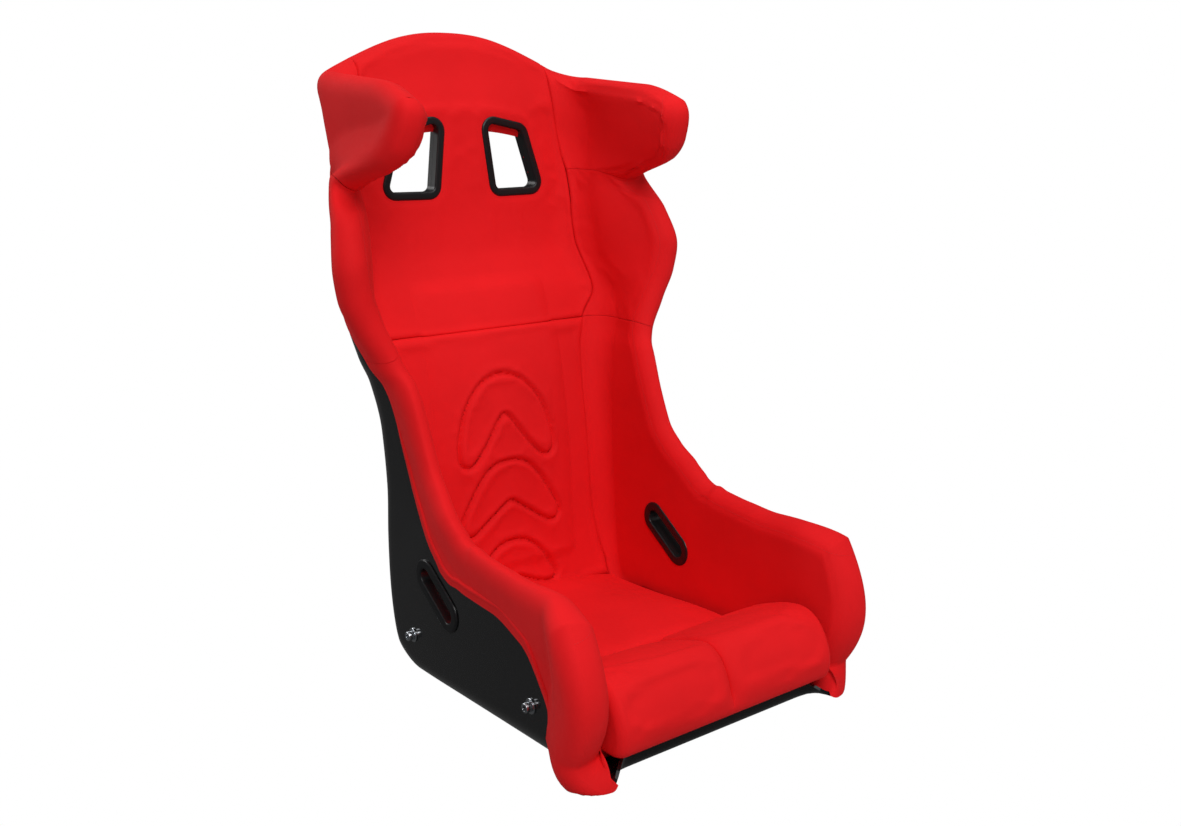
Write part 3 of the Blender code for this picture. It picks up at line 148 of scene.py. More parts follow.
@dataclass(frozen=True)
class Moulding:
    """The outer face of the shell, carried on to the padded outline."""

    sections: Tuple[Section, ...] = SECTIONS
    v_lip: float = 0.336
    v_flat: float = 0.45
    v_side: float = 0.62
    flare_power: float = 1.4
    lip_radius: float = 0.012
    lip_height: float = 0.028
    lip_start_y: float = -0.288
    rim_overhang: float = 0.022
    edge_share: float = 0.25
    head_top_z: float = 0.873
    head_shoulder_z: float = 0.803
    head_half_width: float = 0.260
    head_power: float = 1.2
    wing_fall: float = 0.016        # of the wings' top edge, from the head to the tip
    wing_tip_drop: float = 0.018
    wing_tip_share: float = 0.7
    side_front_run: float = -0.472
    side_front_bulge: float = 0.034
    side_front_set_back: float = 0.008
    recess_depth: float = 0.005
    recess_half_width: float = 0.112
    recess_z: Point = (0.085, 0.520)
    recess_edge: float = 0.022
    step: float = 2e-4
    y_shift: float = 0.0

    def along(self, name: str, run: Array) -> Array:
        """A section's field, read at any run."""
        knots = np.array([section.run for section in self.sections])
        values = np.array([getattr(section, name) for section in self.sections], float)
        return monotone(knots, values, np.asarray(run, float))

    def side_share(self, v: Array) -> Array:
        """How far up the side wall v lies: 0 at its foot, 1 at the outline."""
        return np.maximum((np.abs(v) - self.v_side) / (1 - self.v_side), 0)

    def corner_share(self, v: Array) -> Array:
        """How far round the corner v lies, from the flat middle to the side wall."""
        return np.clip((np.abs(v) - self.v_flat) / (self.v_side - self.v_flat), 0, 1)

    def point(self, run: Array, v: Array, inset: float = 0.0) -> Array:
        """A point of the outer face; `inset` draws the rims in."""
        run, v = np.broadcast_arrays(np.asarray(run, float), np.asarray(v, float))
        half = self.along("half", run)
        corner = self.along("corner", run)
        depth = self.along("rim_depth", run) - corner
        c = self.side_share(v) * (1 - inset / depth)
        angle = self.corner_share(v) * math.pi / 2
        x = (half - corner) * np.clip(np.abs(v) / self.v_flat, 0, 1) + corner * np.sin(angle)
        x = x + (self.along("rim_x", run) - half) * c ** self.flare_power
        w = corner * (1 - np.cos(angle)) + depth * c
        tilt = np.radians(self.along("tilt", run))
        y = self.along("y", run) - w * np.sin(tilt)
        z = self.along("z", run) + w * np.cos(tilt)
        y = y - self.recess(x, z) * (w < corner)
        y, z = self.turned_up_lip(y, z, v)
        return np.stack([np.sign(v) * x, y + self.y_shift, z], axis=-1)

    def recess(self, x: Array, z: Array) -> Array:
        """Depth of the sunk panel in the back of the shell."""
        across = smooth((self.recess_half_width - np.abs(x)) / self.recess_edge)
        up = smooth((z - self.recess_z[0]) / self.recess_edge)
        down = smooth((self.recess_z[1] - z) / self.recess_edge)
        return self.recess_depth * across * up * down

    def turned_up_lip(self, y: Array, z: Array, v: Array) -> Tuple[Array, Array]:
        """The front of the base, bent up."""
        past = np.maximum(self.lip_start_y - y, 0)
        turn = self.lip_radius * math.pi / 2
        bend = np.minimum(past, turn) / self.lip_radius
        lip_y = self.lip_start_y - self.lip_radius * np.sin(bend)
        lip_z = z + self.lip_radius * (1 - np.cos(bend)) + np.maximum(past - turn, 0)
        share = 1 - smooth((np.abs(v) - self.v_lip) / (self.v_flat - self.v_lip))
        share = np.where(past > 0, share, 0)
        return y + (lip_y - y) * share, z + (lip_z - z) * share

    def limits(self, v: Array, inset: float = 0.0) -> Tuple[Array, Array]:
        """Runs at which the surface ends in front and at the head, for each v."""
        b = self.corner_share(v)
        c = self.side_share(v)
        turn = self.lip_radius * (math.pi / 2 - 1)
        lip_end = self.lip_start_y - turn - self.lip_height - self.edge_share * self.rim_overhang
        base_end = self.sections[1].run + (lip_end - self.sections[1].y)
        bulge = self.side_front_bulge * (1 - ((c - 0.5) / 0.5) ** 2)
        side_end = self.side_front_run - bulge + self.side_front_set_back * c
        front = base_end + (side_end - base_end) * smooth(b)
        front = front + inset * np.maximum(smooth(2 * b - 1), self.edge_share)
        head = self.sections[-2]
        x = np.minimum(np.abs(v) / self.v_flat, 1) * (head.half - head.corner)
        x = x + head.corner * np.sin(b * math.pi / 2) + (head.rim_x - head.half) * c
        arch = 0.5 + 0.5 * np.cos(math.pi * np.clip(x / self.head_half_width, 0, 1) ** self.head_power)
        top = self.head_shoulder_z + (self.head_top_z - self.head_shoulder_z) * arch
        tip = np.clip((c - self.wing_tip_share) / 0.3, 0, 1)
        top = top - self.wing_fall * c - self.wing_tip_drop * tip ** 2
        return front, top - (head.z - head.run) - inset

    def surface(self, run: Array, v: Array, inset: float = 0.0,
                reach: Optional[float] = None) -> Tuple[Array, Array]:
        """Points and outward normals.

        Args:
            run: place along the seat.
            v: place across it.
            inset: how far the rims are drawn in.
            reach: length along the seat over which the normals are averaged.

        Returns:
            The points and the unit normals, each with a last axis of 3.
        """
        run, v = np.broadcast_arrays(np.asarray(run, float), np.asarray(v, float))
        reach = self.step if reach is None else reach
        along = self.point(run + reach, v, inset) - self.point(run - reach, v, inset)
        across = self.point(run, v + self.step, inset) - self.point(run, v - self.step, inset)
        normals = np.cross(along, across)
        normals /= np.linalg.norm(normals, axis=-1, keepdims=True)
        return self.point(run, v, inset), normals

    def rim_arc(self, run: Array, v: Array) -> Array:
        """Length along a section from the outline down to v."""
        corner = self.along("corner", run)
        depth = self.along("rim_depth", run) - corner
        flat = self.along("half", run) - corner
        return (depth * (1 - self.side_share(v)) + corner * math.pi / 2 * (1 - self.corner_share(v))
                + flat * (1 - np.clip(np.abs(v) / self.v_flat, 0, 1)))

    def v_at_arc(self, run: Array, arc: Array) -> Array:
        """The v that lies this length along a section from the outline."""
        corner = self.along("corner", run)
        depth = self.along("rim_depth", run) - corner
        flat = self.along("half", run) - corner
        v = 1 - (1 - self.v_side) * arc / depth
        past = arc - depth
        v = np.where(past > 0, self.v_side - (self.v_side - self.v_flat) * past / (corner * math.pi / 2), v)
        past = past - corner * math.pi / 2
        return np.where(past > 0, self.v_flat * (1 - past / flat), v)


class Outline:
    """The padded outline of the seat, for distances to it."""

    CORNER_START = 0.40     # v at which the front edge of the side covers starts
    ON_THE_OUTLINE = 1e-5

    def __init__(self, moulding: Moulding) -> None:
        """Samples the outline closely and builds the search tree."""
        edge = np.linspace(0, 1, 3000)
        across = np.linspace(-1, 1, 1500)
        corner = np.linspace(self.CORNER_START, 1, 800)
        lines = []
        for side, _ in SIDES:
            front, top = moulding.limits(np.array(1.0))
            lines.append(moulding.point(front + (top - front) * edge, np.full_like(edge, side)))
            lines.append(moulding.point(moulding.limits(corner)[0], side * corner))
        lines.append(moulding.point(moulding.limits(across)[1], across))
        self.points = np.concatenate(lines)
        number = np.arange(len(self.points))
        ends = np.cumsum([len(line) for line in lines])
        self.after = np.where(np.isin(number + 1, ends), number, number + 1)
        self.before = np.where(np.isin(number, [0, *ends]), number, number - 1)
        self.tree = kdtree.KDTree(len(self.points))
        for place, point in enumerate(self.points):
            self.tree.insert(Vector(point), place)
        self.tree.balance()

    def distance(self, points: Array) -> Array:
        """Distance of each point from the outline."""
        flat = points.reshape(-1, 3)
        nearest = np.array([self.tree.find(place)[1] for place in flat.tolist()])
        start = self.points[nearest]
        best = np.linalg.norm(flat - start, axis=1)
        for other in (self.before, self.after):
            along = self.points[other[nearest]] - start
            length = np.maximum(np.einsum("ij,ij->i", along, along), 1e-18)
            share = np.clip(np.einsum("ij,ij->i", flat - start, along) / length, 0, 1)
            best = np.minimum(best, np.linalg.norm(flat - start - along * share[:, None], axis=1))
        return np.where(best < self.ON_THE_OUTLINE, 0, best).reshape(points.shape[:-1])


# ---------------------------------------------------------------- mesh helpers
def graded(lengths: Array, near: Tuple[float, int], far: Tuple[float, int], step: float) -> Array:
    """Distances along rows of unlike length, closer together at their ends.

    Args:
        lengths: length of each row.
        near: radius of the rounding at the start, and the steps over it.
        far: the same at the end.
        step: the largest step between.

    Returns:
        One row of distances for each length.
    """
    lengths = np.atleast_1d(np.asarray(lengths, float))[:, None]
    first = near[0] * (1 - np.cos(np.linspace(0, math.pi / 2, near[1] + 1)))
    last = far[0] * (1 - np.cos(np.linspace(math.pi / 2, 0, far[1] + 1)))
    count = max(int(math.ceil((lengths.max() - near[0] - far[0]) / step)), 2)
    share = np.arange(1, count) / count
    span = lengths - near[0] - far[0]
    rows = np.ones_like(lengths)
    return np.concatenate([rows * first, near[0] + span * share, lengths - last], axis=1)


def hermite(places: Array, values: Array, at: Array) -> Array:
    """Cubic interpolation along the first axis of an array."""
    tangent = np.gradient(values, places, axis=0)
    i = np.clip(np.searchsorted(places, at, side="right") - 1, 0, len(places) - 2)
    width = (places[i + 1] - places[i]).reshape((-1,) + (1,) * (values.ndim - 1))
    t = ((at - places[i]).reshape(width.shape)) / width
    return ((1 + 2 * t) * (1 - t) ** 2 * values[i] + t * (1 - t) ** 2 * width * tangent[i]
            + t * t * (3 - 2 * t) * values[i + 1] + t * t * (t - 1) * width * tangent[i + 1])


def closed_curve(corners: Sequence[Point], samples: int) -> Array:
    """A smooth closed curve through flat points, so many samples for each of them."""
    points = np.array(corners)
    count = len(points)
    curve = []
    for i in range(count):
        a, b, c, d = (points[(i + k - 1) % count] for k in range(4))
        for t in np.arange(samples) / samples:
            curve.append(0.5 * (2 * b + (c - a) * t + (2 * a - 5 * b + 4 * c - d) * t ** 2
                                + (3 * b - a - 3 * c + d) * t ** 3))
    return np.array(curve)


def grid_normals(grid: Array) -> Array:
    """Unit normals of a grid of points, along rows cross along columns."""
    normals = np.cross(np.gradient(grid, axis=0), np.gradient(grid, axis=1))
    length = np.linalg.norm(normals, axis=-1, keepdims=True)
    return normals / np.maximum(length, 1e-12)


def ripple(points: Array, wave: float, seed: int, stretch: Sequence[float] = (1, 1, 1)) -> Array:
    """Soft random undulation of the points' places, from -1 to 1.

    Args:
        points: places in metres.
        wave: wave length in metres.
        seed: picks the waves.
        stretch: how much longer the waves are along each axis.

    Returns:
        One value for each point.
    """
    random = np.random.default_rng(seed)
    total = np.zeros(points.shape[:-1])
    for _ in range(9):
        direction = random.normal(size=3)
        direction /= np.linalg.norm(direction)
        length = wave * random.uniform(0.7, 1.6)
        phase = random.uniform(0, 2 * math.pi)
        total += np.sin(points @ (direction / np.asarray(stretch, float)) * 2 * math.pi / length + phase)
    return total / 5


def new_mesh_object(name: str, points: Array, faces: List[Sequence[int]], uv: Optional[Array] = None,
                    sharp: float = 60.0) -> bpy.types.Object:
    """A smooth shaded mesh object at the origin, with a UV map in metres if one is given."""
    mesh = bpy.data.meshes.new(name)
    mesh.from_pydata(np.asarray(points, float).tolist(), [], faces)
    mesh.shade_smooth()
    mesh.set_sharp_from_angle(angle=math.radians(sharp))
    if uv is not None:
        corners = np.zeros(len(mesh.loops), np.int32)
        mesh.loops.foreach_get("vertex_index", corners)
        layer = mesh.uv_layers.new(name="UVMap")
        layer.data.foreach_set("uv", np.asarray(uv, np.float32)[corners].ravel())
    made = bpy.data.objects.new(name, mesh)
    bpy.context.scene.collection.objects.link(made)
    return made


def closed_layers(name: str, face: Array, lining: Array, uv: Array, holes: Optional[Array] = None,
                  sharp: float = 60.0) -> bpy.types.Object:
    """The closed solid between two grids of points, with walls round its border and holes.

    Args:
        name: name of the object.
        face: outer grid, rows x columns x 3.
        lining: inner grid of the same size.
        uv: rows x columns x 2, in metres.
        holes: True for each cell that is left open.
        sharp: edges past this angle in degrees are shaded sharp.

    Returns:
        The object; its faces point outwards.
    """
    rows, columns = face.shape[:2]
    index = np.arange(rows * columns).reshape(rows, columns)
    cells = np.stack([index[:-1, :-1], index[1:, :-1], index[1:, 1:], index[:-1, 1:]], axis=-1)
    cells = cells.reshape(-1, 4) if holes is None else cells[~holes]
    count = rows * columns
    starts = cells.ravel()
    ends = np.roll(cells, -1, axis=1).ravel()
    border = ~np.isin(starts * count + ends, ends * count + starts)
    a, b = starts[border], ends[border]
    points = np.concatenate([face.reshape(-1, 3), lining.reshape(-1, 3)])
    same = np.linalg.norm(points[a] - points[a + count], axis=1) < 1e-7
    twin = np.arange(2 * count)
    twin[a[same] + count] = a[same]
    walls = np.stack([b, a, twin[a + count], twin[b + count]], axis=-1)
    under = twin[cells[:, ::-1] + count]
    quads = np.concatenate([cells, under, walls])
    centre = points.mean(axis=0)
    corner = [points[quads[:, k]] - centre for k in range(4)]
    volume = (np.einsum("ij,ij->i", corner[0], np.cross(corner[1], corner[2])).sum()
              + np.einsum("ij,ij->i", corner[0], np.cross(corner[2], corner[3])).sum())
    if volume < 0:
        quads = quads[:, ::-1]
    used, fresh = np.unique(quads, return_inverse=True)
    quads = fresh.reshape(quads.shape)
    faces = [tuple(dict.fromkeys(quad)) for quad in quads.tolist()]
    faces = [corners for corners in faces if len(corners) > 2]
    flat_uv = np.concatenate([uv.reshape(-1, 2)] * 2)
    return new_mesh_object(name, points[used], faces, flat_uv[used], sharp)


def swept(name: str, path: Sequence[Tuple[Point, Point]], profile: Sequence[Point], place: Matrix,
          sharp: float = 40.0) -> bpy.types.Object:
    """A closed profile carried round a closed flat path.

    Args:
        name: name of the object.
        path: (point, outward unit vector) pairs in the place's XY plane.
        profile: (outward, up) offsets.
        place: matrix from that plane to the seat.
        sharp: edges past this angle in degrees are shaded sharp.

    Returns:
        The ring as an object.
    """
    points = [place @ Vector((px + nx * out, py + ny * out, up))
              for (px, py), (nx, ny) in path for out, up in profile]
    count, size = len(path), len(profile)
    faces = [(i * size + j, (i + 1) % count * size + j, (i + 1) % count * size + (j + 1) % size,
              i * size + (j + 1) % size) for i in range(count) for j in range(size)]
    made = new_mesh_object(name, np.array([tuple(p) for p in points]), faces, sharp=sharp)
    turn_outwards(made)
    return made


def turn_outwards(made: bpy.types.Object) -> None:
    """Points the faces of a closed mesh outwards."""
    work = bmesh.new()
    work.from_mesh(made.data)
    bmesh.ops.recalc_face_normals(work, faces=work.faces)
    work.to_mesh(made.data)
    work.free()


def turned(name: str, profile: Sequence[Point], segments: int,
           reach: Callable[[int, float, float], float] = lambda ring, turn, radius: radius,
           sharp: float = 35.0) -> bpy.types.Object:
    """A profile of (radius, height) points turned about Z.

    Args:
        name: name of the object.
        profile: points from end to end; a first or last radius of 0 closes it there.
        segments: sides of the turned form.
        reach: radius of a ring's point from (ring number, turn, radius), for hexagons.
        sharp: edges past this angle in degrees are shaded sharp.

    Returns:
        The closed form as an object.
    """
    points: List[Tuple[float, float, float]] = []
    rings: List[List[int]] = []
    for number, (radius, height) in enumerate(profile):
        if radius == 0:
            rings.append([len(points)] * segments)
            points.append((0, 0, height))
            continue
        rings.append(list(range(len(points), len(points) + segments)))
        for k in range(segments):
            turn = 2 * math.pi * k / segments
            out = reach(number, turn, radius)
            points.append((out * math.cos(turn), out * math.sin(turn), height))
    if profile[0][0] > 0:
        rings.append(rings[0])
    faces = []
    for low, high in zip(rings, rings[1:]):
        for k in range(segments):
            n = (k + 1) % segments
            faces.append(tuple(dict.fromkeys((low[k], low[n], high[n], high[k]))))
    made = new_mesh_object(name, np.array(points), faces, sharp=sharp)
    turn_outwards(made)
    return made


def rounded_polygon(corners: Sequence[Point], radius: float, steps: int) -> List[Tuple[Point, Point]]:
    """(point, outward normal) pairs round a convex outline with round corners."""
    count = len(corners)
    area = sum(corners[i][0] * corners[(i + 1) % count][1]
               - corners[(i + 1) % count][0] * corners[i][1] for i in range(count))
    points = [Vector(c) for c in (corners if area > 0 else corners[::-1])]
    path = []
    for i in range(count):
        here = points[i]
        back = (points[i - 1] - here).normalized()
        on = (points[(i + 1) % count] - here).normalized()
        centre = here + (back + on).normalized() * radius / math.sin(back.angle(on) / 2)
        start = math.atan2(back.x, -back.y)
        sweep = (math.atan2(-on.x, on.y) - start) % (2 * math.pi)
        for k in range(steps + 1):
            turn = start + sweep * k / steps
            normal = (math.cos(turn), math.sin(turn))
            path.append(((centre.x + radius * normal[0], centre.y + radius * normal[1]), normal))
    return path


def stadium(length: float, width: float, steps: int) -> List[Tuple[Point, Point]]:
    """A slot outline with round ends, along X."""
    radius = width / 2
    path = []
    for sign in (1, -1):
        for k in range(steps + 1):
            turn = -math.pi / 2 + math.pi * k / steps + (0 if sign > 0 else math.pi)
            normal = (math.cos(turn), math.sin(turn))
            path.append(((sign * (length / 2 - radius) + radius * normal[0], radius * normal[1]), normal))
    return path


def outline_distance(path: Sequence[Tuple[Point, Point]], x: Array, y: Array) -> Array:
    """Signed distance of flat points from a convex outline: below 0 inside it."""
    corners = np.array([point for point, _ in path])
    ends = np.roll(corners, -1, axis=0)
    best = np.full(x.shape, np.inf)
    inside = np.ones(x.shape, bool)
    for (ax, ay), (bx, by) in zip(corners, ends):
        dx, dy = bx - ax, by - ay
        size = dx * dx + dy * dy
        if size < 1e-14:
            continue
        t = np.clip(((x - ax) * dx + (y - ay) * dy) / size, 0, 1)
        best = np.minimum(best, np.hypot(x - ax - t * dx, y - ay - t * dy))
        inside &= dx * (y - ay) - dy * (x - ax) >= 0
    return np.where(inside, -best, best)


# ------------------------------------------------------------------ the swelling
@dataclass(frozen=True)
class Swelling:
    """Cloth simulation that lets a cover swell over its foam."""

    pressure: float = 4.0
    cap: float = 0.0035
    spacing: float = 0.0075
    slack: float = 0.004
    frames: int = 20
    stiffness: float = 12.0
    bending: float = 0.4

    def pick(self, places: Array) -> Array:
        """Indices of a coarser choice of places, about one spacing apart, with both ends."""
        chosen = [0]
        for number in range(1, len(places) - 1):
            if places[number] - places[chosen[-1]] >= self.spacing:
                chosen.append(number)
        return np.array(chosen + [len(places) - 1])

    def run(self, name: str, face: Array, pinned: Array) -> Array:
        """Simulates a cover and returns how far each of its points moves.

        Args:
            name: name of the working object.
            face: grid of the cover's points.
            pinned: True where the cover is sewn down or stretched tight.

        Returns:
            A displacement for each point of the grid.
        """
        steps = np.linalg.norm(np.diff(face, axis=0), axis=-1).max(axis=1)
        down = np.concatenate([[0], np.cumsum(steps)])
        steps = np.linalg.norm(np.diff(face, axis=1), axis=-1).max(axis=0)
        over = np.concatenate([[0], np.cumsum(steps)])
        rows, columns = self.pick(down), self.pick(over)
        coarse = face[np.ix_(rows, columns)]
        fixed = pinned[np.ix_(rows, columns)]
        moved = self.simulate(name, coarse, fixed) - coarse
        length = np.linalg.norm(moved, axis=-1, keepdims=True)
        moved = moved * self.cap * np.tanh(length / self.cap) / np.maximum(length, 1e-9)
        moved[fixed] = 0
        fine = hermite(down[rows], moved, down)
        return hermite(over[columns], fine.swapaxes(0, 1), over).swapaxes(0, 1)

    def simulate(self, name: str, coarse: Array, fixed: Array) -> Array:
        """Runs the cloth on the coarse grid and returns its points at the last frame."""
        rows, columns = coarse.shape[:2]
        index = np.arange(rows * columns).reshape(rows, columns)
        cells = np.stack([index[:-1, :-1], index[1:, :-1], index[1:, 1:], index[:-1, 1:]], axis=-1)
        made = new_mesh_object(name + "_cloth", coarse.reshape(-1, 3), cells.reshape(-1, 4).tolist())
        group = made.vertex_groups.new(name="sewn")
        group.add([int(k) for k in np.flatnonzero(fixed.ravel())], 1.0, "REPLACE")
        cloth = made.modifiers.new("cloth", "CLOTH")
        settings = cloth.settings
        settings.quality = 6
        settings.mass = 0.3
        settings.tension_stiffness = self.stiffness
        settings.compression_stiffness = self.stiffness
        settings.bending_stiffness = self.bending
        settings.use_pressure = True
        settings.uniform_pressure_force = self.pressure
        settings.shrink_min = -self.slack
        settings.vertex_group_mass = group.name
        settings.effector_weights.gravity = 0
        cloth.point_cache.frame_start = 1
        cloth.point_cache.frame_end = self.frames
        scene = bpy.context.scene
        for number in range(1, self.frames + 1):
            scene.frame_set(number)
        graph = bpy.context.evaluated_depsgraph_get()
        result = made.evaluated_get(graph)
        points = np.zeros(rows * columns * 3, np.float32)
        result.data.vertices.foreach_get("co", points)
        bpy.data.objects.remove(made, do_unlink=True)
        scene.frame_set(1)
        return points.reshape(coarse.shape).astype(float)


CUSHION_SWELLING = Swelling(cap=0.004)


# ------------------------------------------------------------------ finishes
def socket(node: bpy.types.Node, name: str, value: object) -> None:
    """Sets an input of a node by its name."""
    node.inputs[name].default_value = value


class NodeTree:
    """Short hand for building a node tree."""

    def __init__(self, tree: bpy.types.NodeTree) -> None:
        """Keeps the tree."""
        self.tree = tree

    def node(self, kind: str, inputs: Optional[Dict[object, object]] = None,
             **settings: object) -> bpy.types.Node:
        """Adds a node of this kind.

        Args:
            kind: type of the node.
            inputs: sockets to link, or values to set, by input name or number.
            settings: attributes of the node.

        Returns:
            The node.
        """
        made = self.tree.nodes.new(kind)
        for name, value in settings.items():
            setattr(made, name, value)
        for name, value in (inputs or {}).items():
            if isinstance(value, bpy.types.NodeSocket):
                self.link(value, made.inputs[name])
            else:
                made.inputs[name].default_value = value
        return made

    def link(self, source: bpy.types.NodeSocket, target: bpy.types.NodeSocket) -> None:
        """Joins two sockets."""
        self.tree.links.new(source, target)

    def math(self, operation: str, first: object, second: object = None) -> bpy.types.NodeSocket:
        """A Math node on sockets or numbers, and its output."""
        values = {0: first} if second is None else {0: first, 1: second}
        return self.node("ShaderNodeMath", values, operation=operation).outputs[0]


def node_group(name: str, inputs: Dict[str, float],
               outputs: Sequence[str]) -> Tuple[NodeTree, object, object]:
    """An empty shader node group with a Vector input, float inputs and float outputs."""
    tree = bpy.data.node_groups.new(name, "ShaderNodeTree")
    tree.interface.new_socket("Vector", in_out="INPUT", socket_type="NodeSocketVector")
    for label, value in inputs.items():
        made = tree.interface.new_socket(label, in_out="INPUT", socket_type="NodeSocketFloat")
        made.default_value = value
    for label in outputs:
        tree.interface.new_socket(label, in_out="OUTPUT", socket_type="NodeSocketFloat")
    build = NodeTree(tree)
    return build, build.node("NodeGroupInput"), build.node("NodeGroupOutput")


def knit_group() -> bpy.types.NodeTree:
    """Fine warp knit: rows of small loops, with uneven yarn."""
    build, start, end = node_group("Knit", {"Loops per metre": 900.0, "Unevenness": 0.35}, ("Height", "Yarn"))
    place = start.outputs["Vector"]
    split = build.node("ShaderNodeSeparateXYZ", {0: place})
    wander = build.node("ShaderNodeTexNoise", {"Scale": 140.0, "Vector": place})
    turns = build.math("MULTIPLY", start.outputs["Loops per metre"], 2 * math.pi)
    slip = build.math("MULTIPLY", wander.outputs[0], start.outputs["Unevenness"])
    across = build.math("ADD", build.math("MULTIPLY", split.outputs[0], turns), slip)
    along = build.math("ADD", build.math("MULTIPLY", split.outputs[1], turns), slip)
    wales = build.math("ABSOLUTE", build.math("SINE", build.math("MULTIPLY", across, 0.5)))
    loops = build.math("SINE", build.math("ADD", along, build.math("MULTIPLY", wales, 1.6)))
    height = build.math("MULTIPLY", wales, build.math("ADD", build.math("MULTIPLY", loops, 0.35), 0.65))
    build.link(height, end.inputs["Height"])
    build.link(wander.outputs[0], end.inputs["Yarn"])
    return build.tree


def grain_group() -> bpy.types.NodeTree:
    """Fine even grain, as of moulded plastic, gelcoat or a plated face."""
    build, start, end = node_group("Grain", {"Grain scale": 300.0, "Cloud scale": 12.0}, ("Height", "Clouds"))
    for detail, scale, result in ((3.0, "Grain scale", "Height"), (2.0, "Cloud scale", "Clouds")):
        noise = build.node("ShaderNodeTexNoise", {"Detail": detail, "Vector": start.outputs["Vector"],
                                                  "Scale": start.outputs[scale]})
        build.link(noise.outputs[0], end.inputs[result])
    return build.tree


class Coordinates(Enum):
    """What a pattern is laid on."""

    OBJECT = "Object"
    UV = "UV"


@dataclass(frozen=True)
class Finish:
    """A finish: a Principled material whose colour, gloss and relief vary finely, with painted shade in the
    gaps of its relief where that is asked for.
    """

    name: str
    slot: str
    colour: Tuple[float, float, float]
    shade: Tuple[float, float, float]
    roughness: Point
    group: str
    group_values: Tuple[Tuple[str, float], ...] = ()
    coordinates: Coordinates = Coordinates.OBJECT
    relief: float = 0.0002
    relief_strength: float = 0.5
    metallic: float = 0.0
    coat: float = 0.0
    coat_roughness: float = 0.03
    sheen: float = 0.0
    sheen_tint: Tuple[float, float, float] = (1.0, 1.0, 1.0)
    specular: float = 0.5
    # painted shade: how much darker the colour gets in the gaps of the pattern's relief
    painted_gap_shade: float = 0.0

    def material(self) -> bpy.types.Material:
        """The finish as a material, built once."""
        if self.name in bpy.data.materials:
            return bpy.data.materials[self.name]
        made = bpy.data.materials.new(self.name)
        made.use_nodes = True
        build = NodeTree(made.node_tree)
        shader = made.node_tree.nodes["Principled BSDF"]
        coords = build.node("ShaderNodeTexCoord")
        pattern = build.node("ShaderNodeGroup", node_tree=bpy.data.node_groups[self.group])
        build.link(coords.outputs[self.coordinates.value], pattern.inputs["Vector"])
        for label, value in self.group_values:
            socket(pattern, label, value)
        broad = build.node("ShaderNodeTexNoise",
                           {"Scale": 7.0, "Detail": 4.0, "Vector": coords.outputs["Object"]})
        spread = build.node("ShaderNodeMapRange",
                            {"From Min": 0.3, "From Max": 0.7, "Value": broad.outputs[0]})
        mask = spread.outputs[0]
        # Painted shade: the colour is drawn towards the darker tone where the pattern's relief is low, in the
        # gaps between its loops.
        if self.painted_gap_shade > 0:
            between = build.math("SUBTRACT", 1.0, pattern.outputs[0])
            low = build.math("SUBTRACT", 1.0, build.math("MULTIPLY", between, self.painted_gap_shade))
            mask = build.math("MULTIPLY", mask, low)
        mix = build.node("ShaderNodeMix", data_type="RGBA")
        mix.inputs["A"].default_value = (*self.shade, 1.0)
        mix.inputs["B"].default_value = (*self.colour, 1.0)
        build.link(mask, mix.inputs["Factor"])
        gloss = build.node("ShaderNodeMapRange", {"To Min": self.roughness[0], "To Max": self.roughness[1],
                                                  "Value": pattern.outputs[1]})
        bump = build.node("ShaderNodeBump", {"Strength": self.relief_strength, "Distance": self.relief,
                                             "Height": pattern.outputs[0]})
        build.link(mix.outputs["Result"], shader.inputs["Base Color"])
        build.link(gloss.outputs[0], shader.inputs["Roughness"])
        build.link(bump.outputs[0], shader.inputs["Normal"])
        for name, value in (("Metallic", self.metallic), ("Coat Weight", self.coat),
                            ("Coat Roughness", self.coat_roughness), ("Sheen Weight", self.sheen),
                            ("Sheen Roughness", 0.45), ("Sheen Tint", (*self.sheen_tint, 1.0)),
                            ("Specular IOR Level", self.specular)):
            socket(shader, name, value)
        made.diffuse_color = (*self.colour, 1.0)
        return made

    def dress(self, made: bpy.types.Object) -> None:
        """Gives the finish to a piece or a CAD node."""
        made.data.materials.clear()
        made.data.materials.append(self.material())


# The red cloth has painted shade in the gaps between its knit loops (its last setting).
RED_CLOTH = Finish("red_knitted_cloth", "red_cloth", (0.86, 0.0105, 0.0140), (0.76, 0.0085, 0.0110),
                   (0.72, 0.86), "Knit", (("Loops per metre", 720.0), ("Unevenness", 2.4)), Coordinates.UV,
                   relief=0.00018, relief_strength=0.30, sheen=0.06, sheen_tint=(1.0, 0.10, 0.08),
                   specular=0.14, painted_gap_shade=0.16)
RED_THREAD = Finish("red_polyester_thread", "red_cloth", (0.72, 0.010, 0.014), (0.60, 0.008, 0.010),
                    (0.45, 0.60), "Grain", (("Grain scale", 1800.0),), relief=0.0001, specular=0.4)
GELCOAT = Finish("black_gelcoat", "shell_gelcoat", (0.0055, 0.0055, 0.006), (0.0040, 0.0040, 0.0044),
                 (0.05, 0.10), "Grain", (("Grain scale", 55.0), ("Cloud scale", 9.0)), relief=0.00012,
                 relief_strength=0.10, coat=0.9, coat_roughness=0.02, specular=0.35)
MOULDED_PLASTIC = Finish("black_moulded_plastic", "black_plastic", (0.011, 0.011, 0.012),
                         (0.007, 0.007, 0.008), (0.30, 0.42), "Grain", (("Grain scale", 900.0),),
                         relief=0.00008, relief_strength=0.35, specular=0.4)
ZINC_PLATE = Finish("bright_zinc_plate", "zinc_plated_steel", (0.66, 0.69, 0.72), (0.50, 0.52, 0.55),
                    (0.20, 0.34), "Grain", (("Grain scale", 700.0), ("Cloud scale", 160.0)),
                    relief=0.00006, relief_strength=0.4, metallic=1.0)
HOOK_TAPE = Finish("black_hook_and_loop", "hook_and_loop", (0.022, 0.022, 0.023), (0.012, 0.012, 0.012),
                   (0.85, 0.98), "Grain", (("Grain scale", 1500.0),), relief=0.0006,
                   relief_strength=0.9, sheen=0.3)


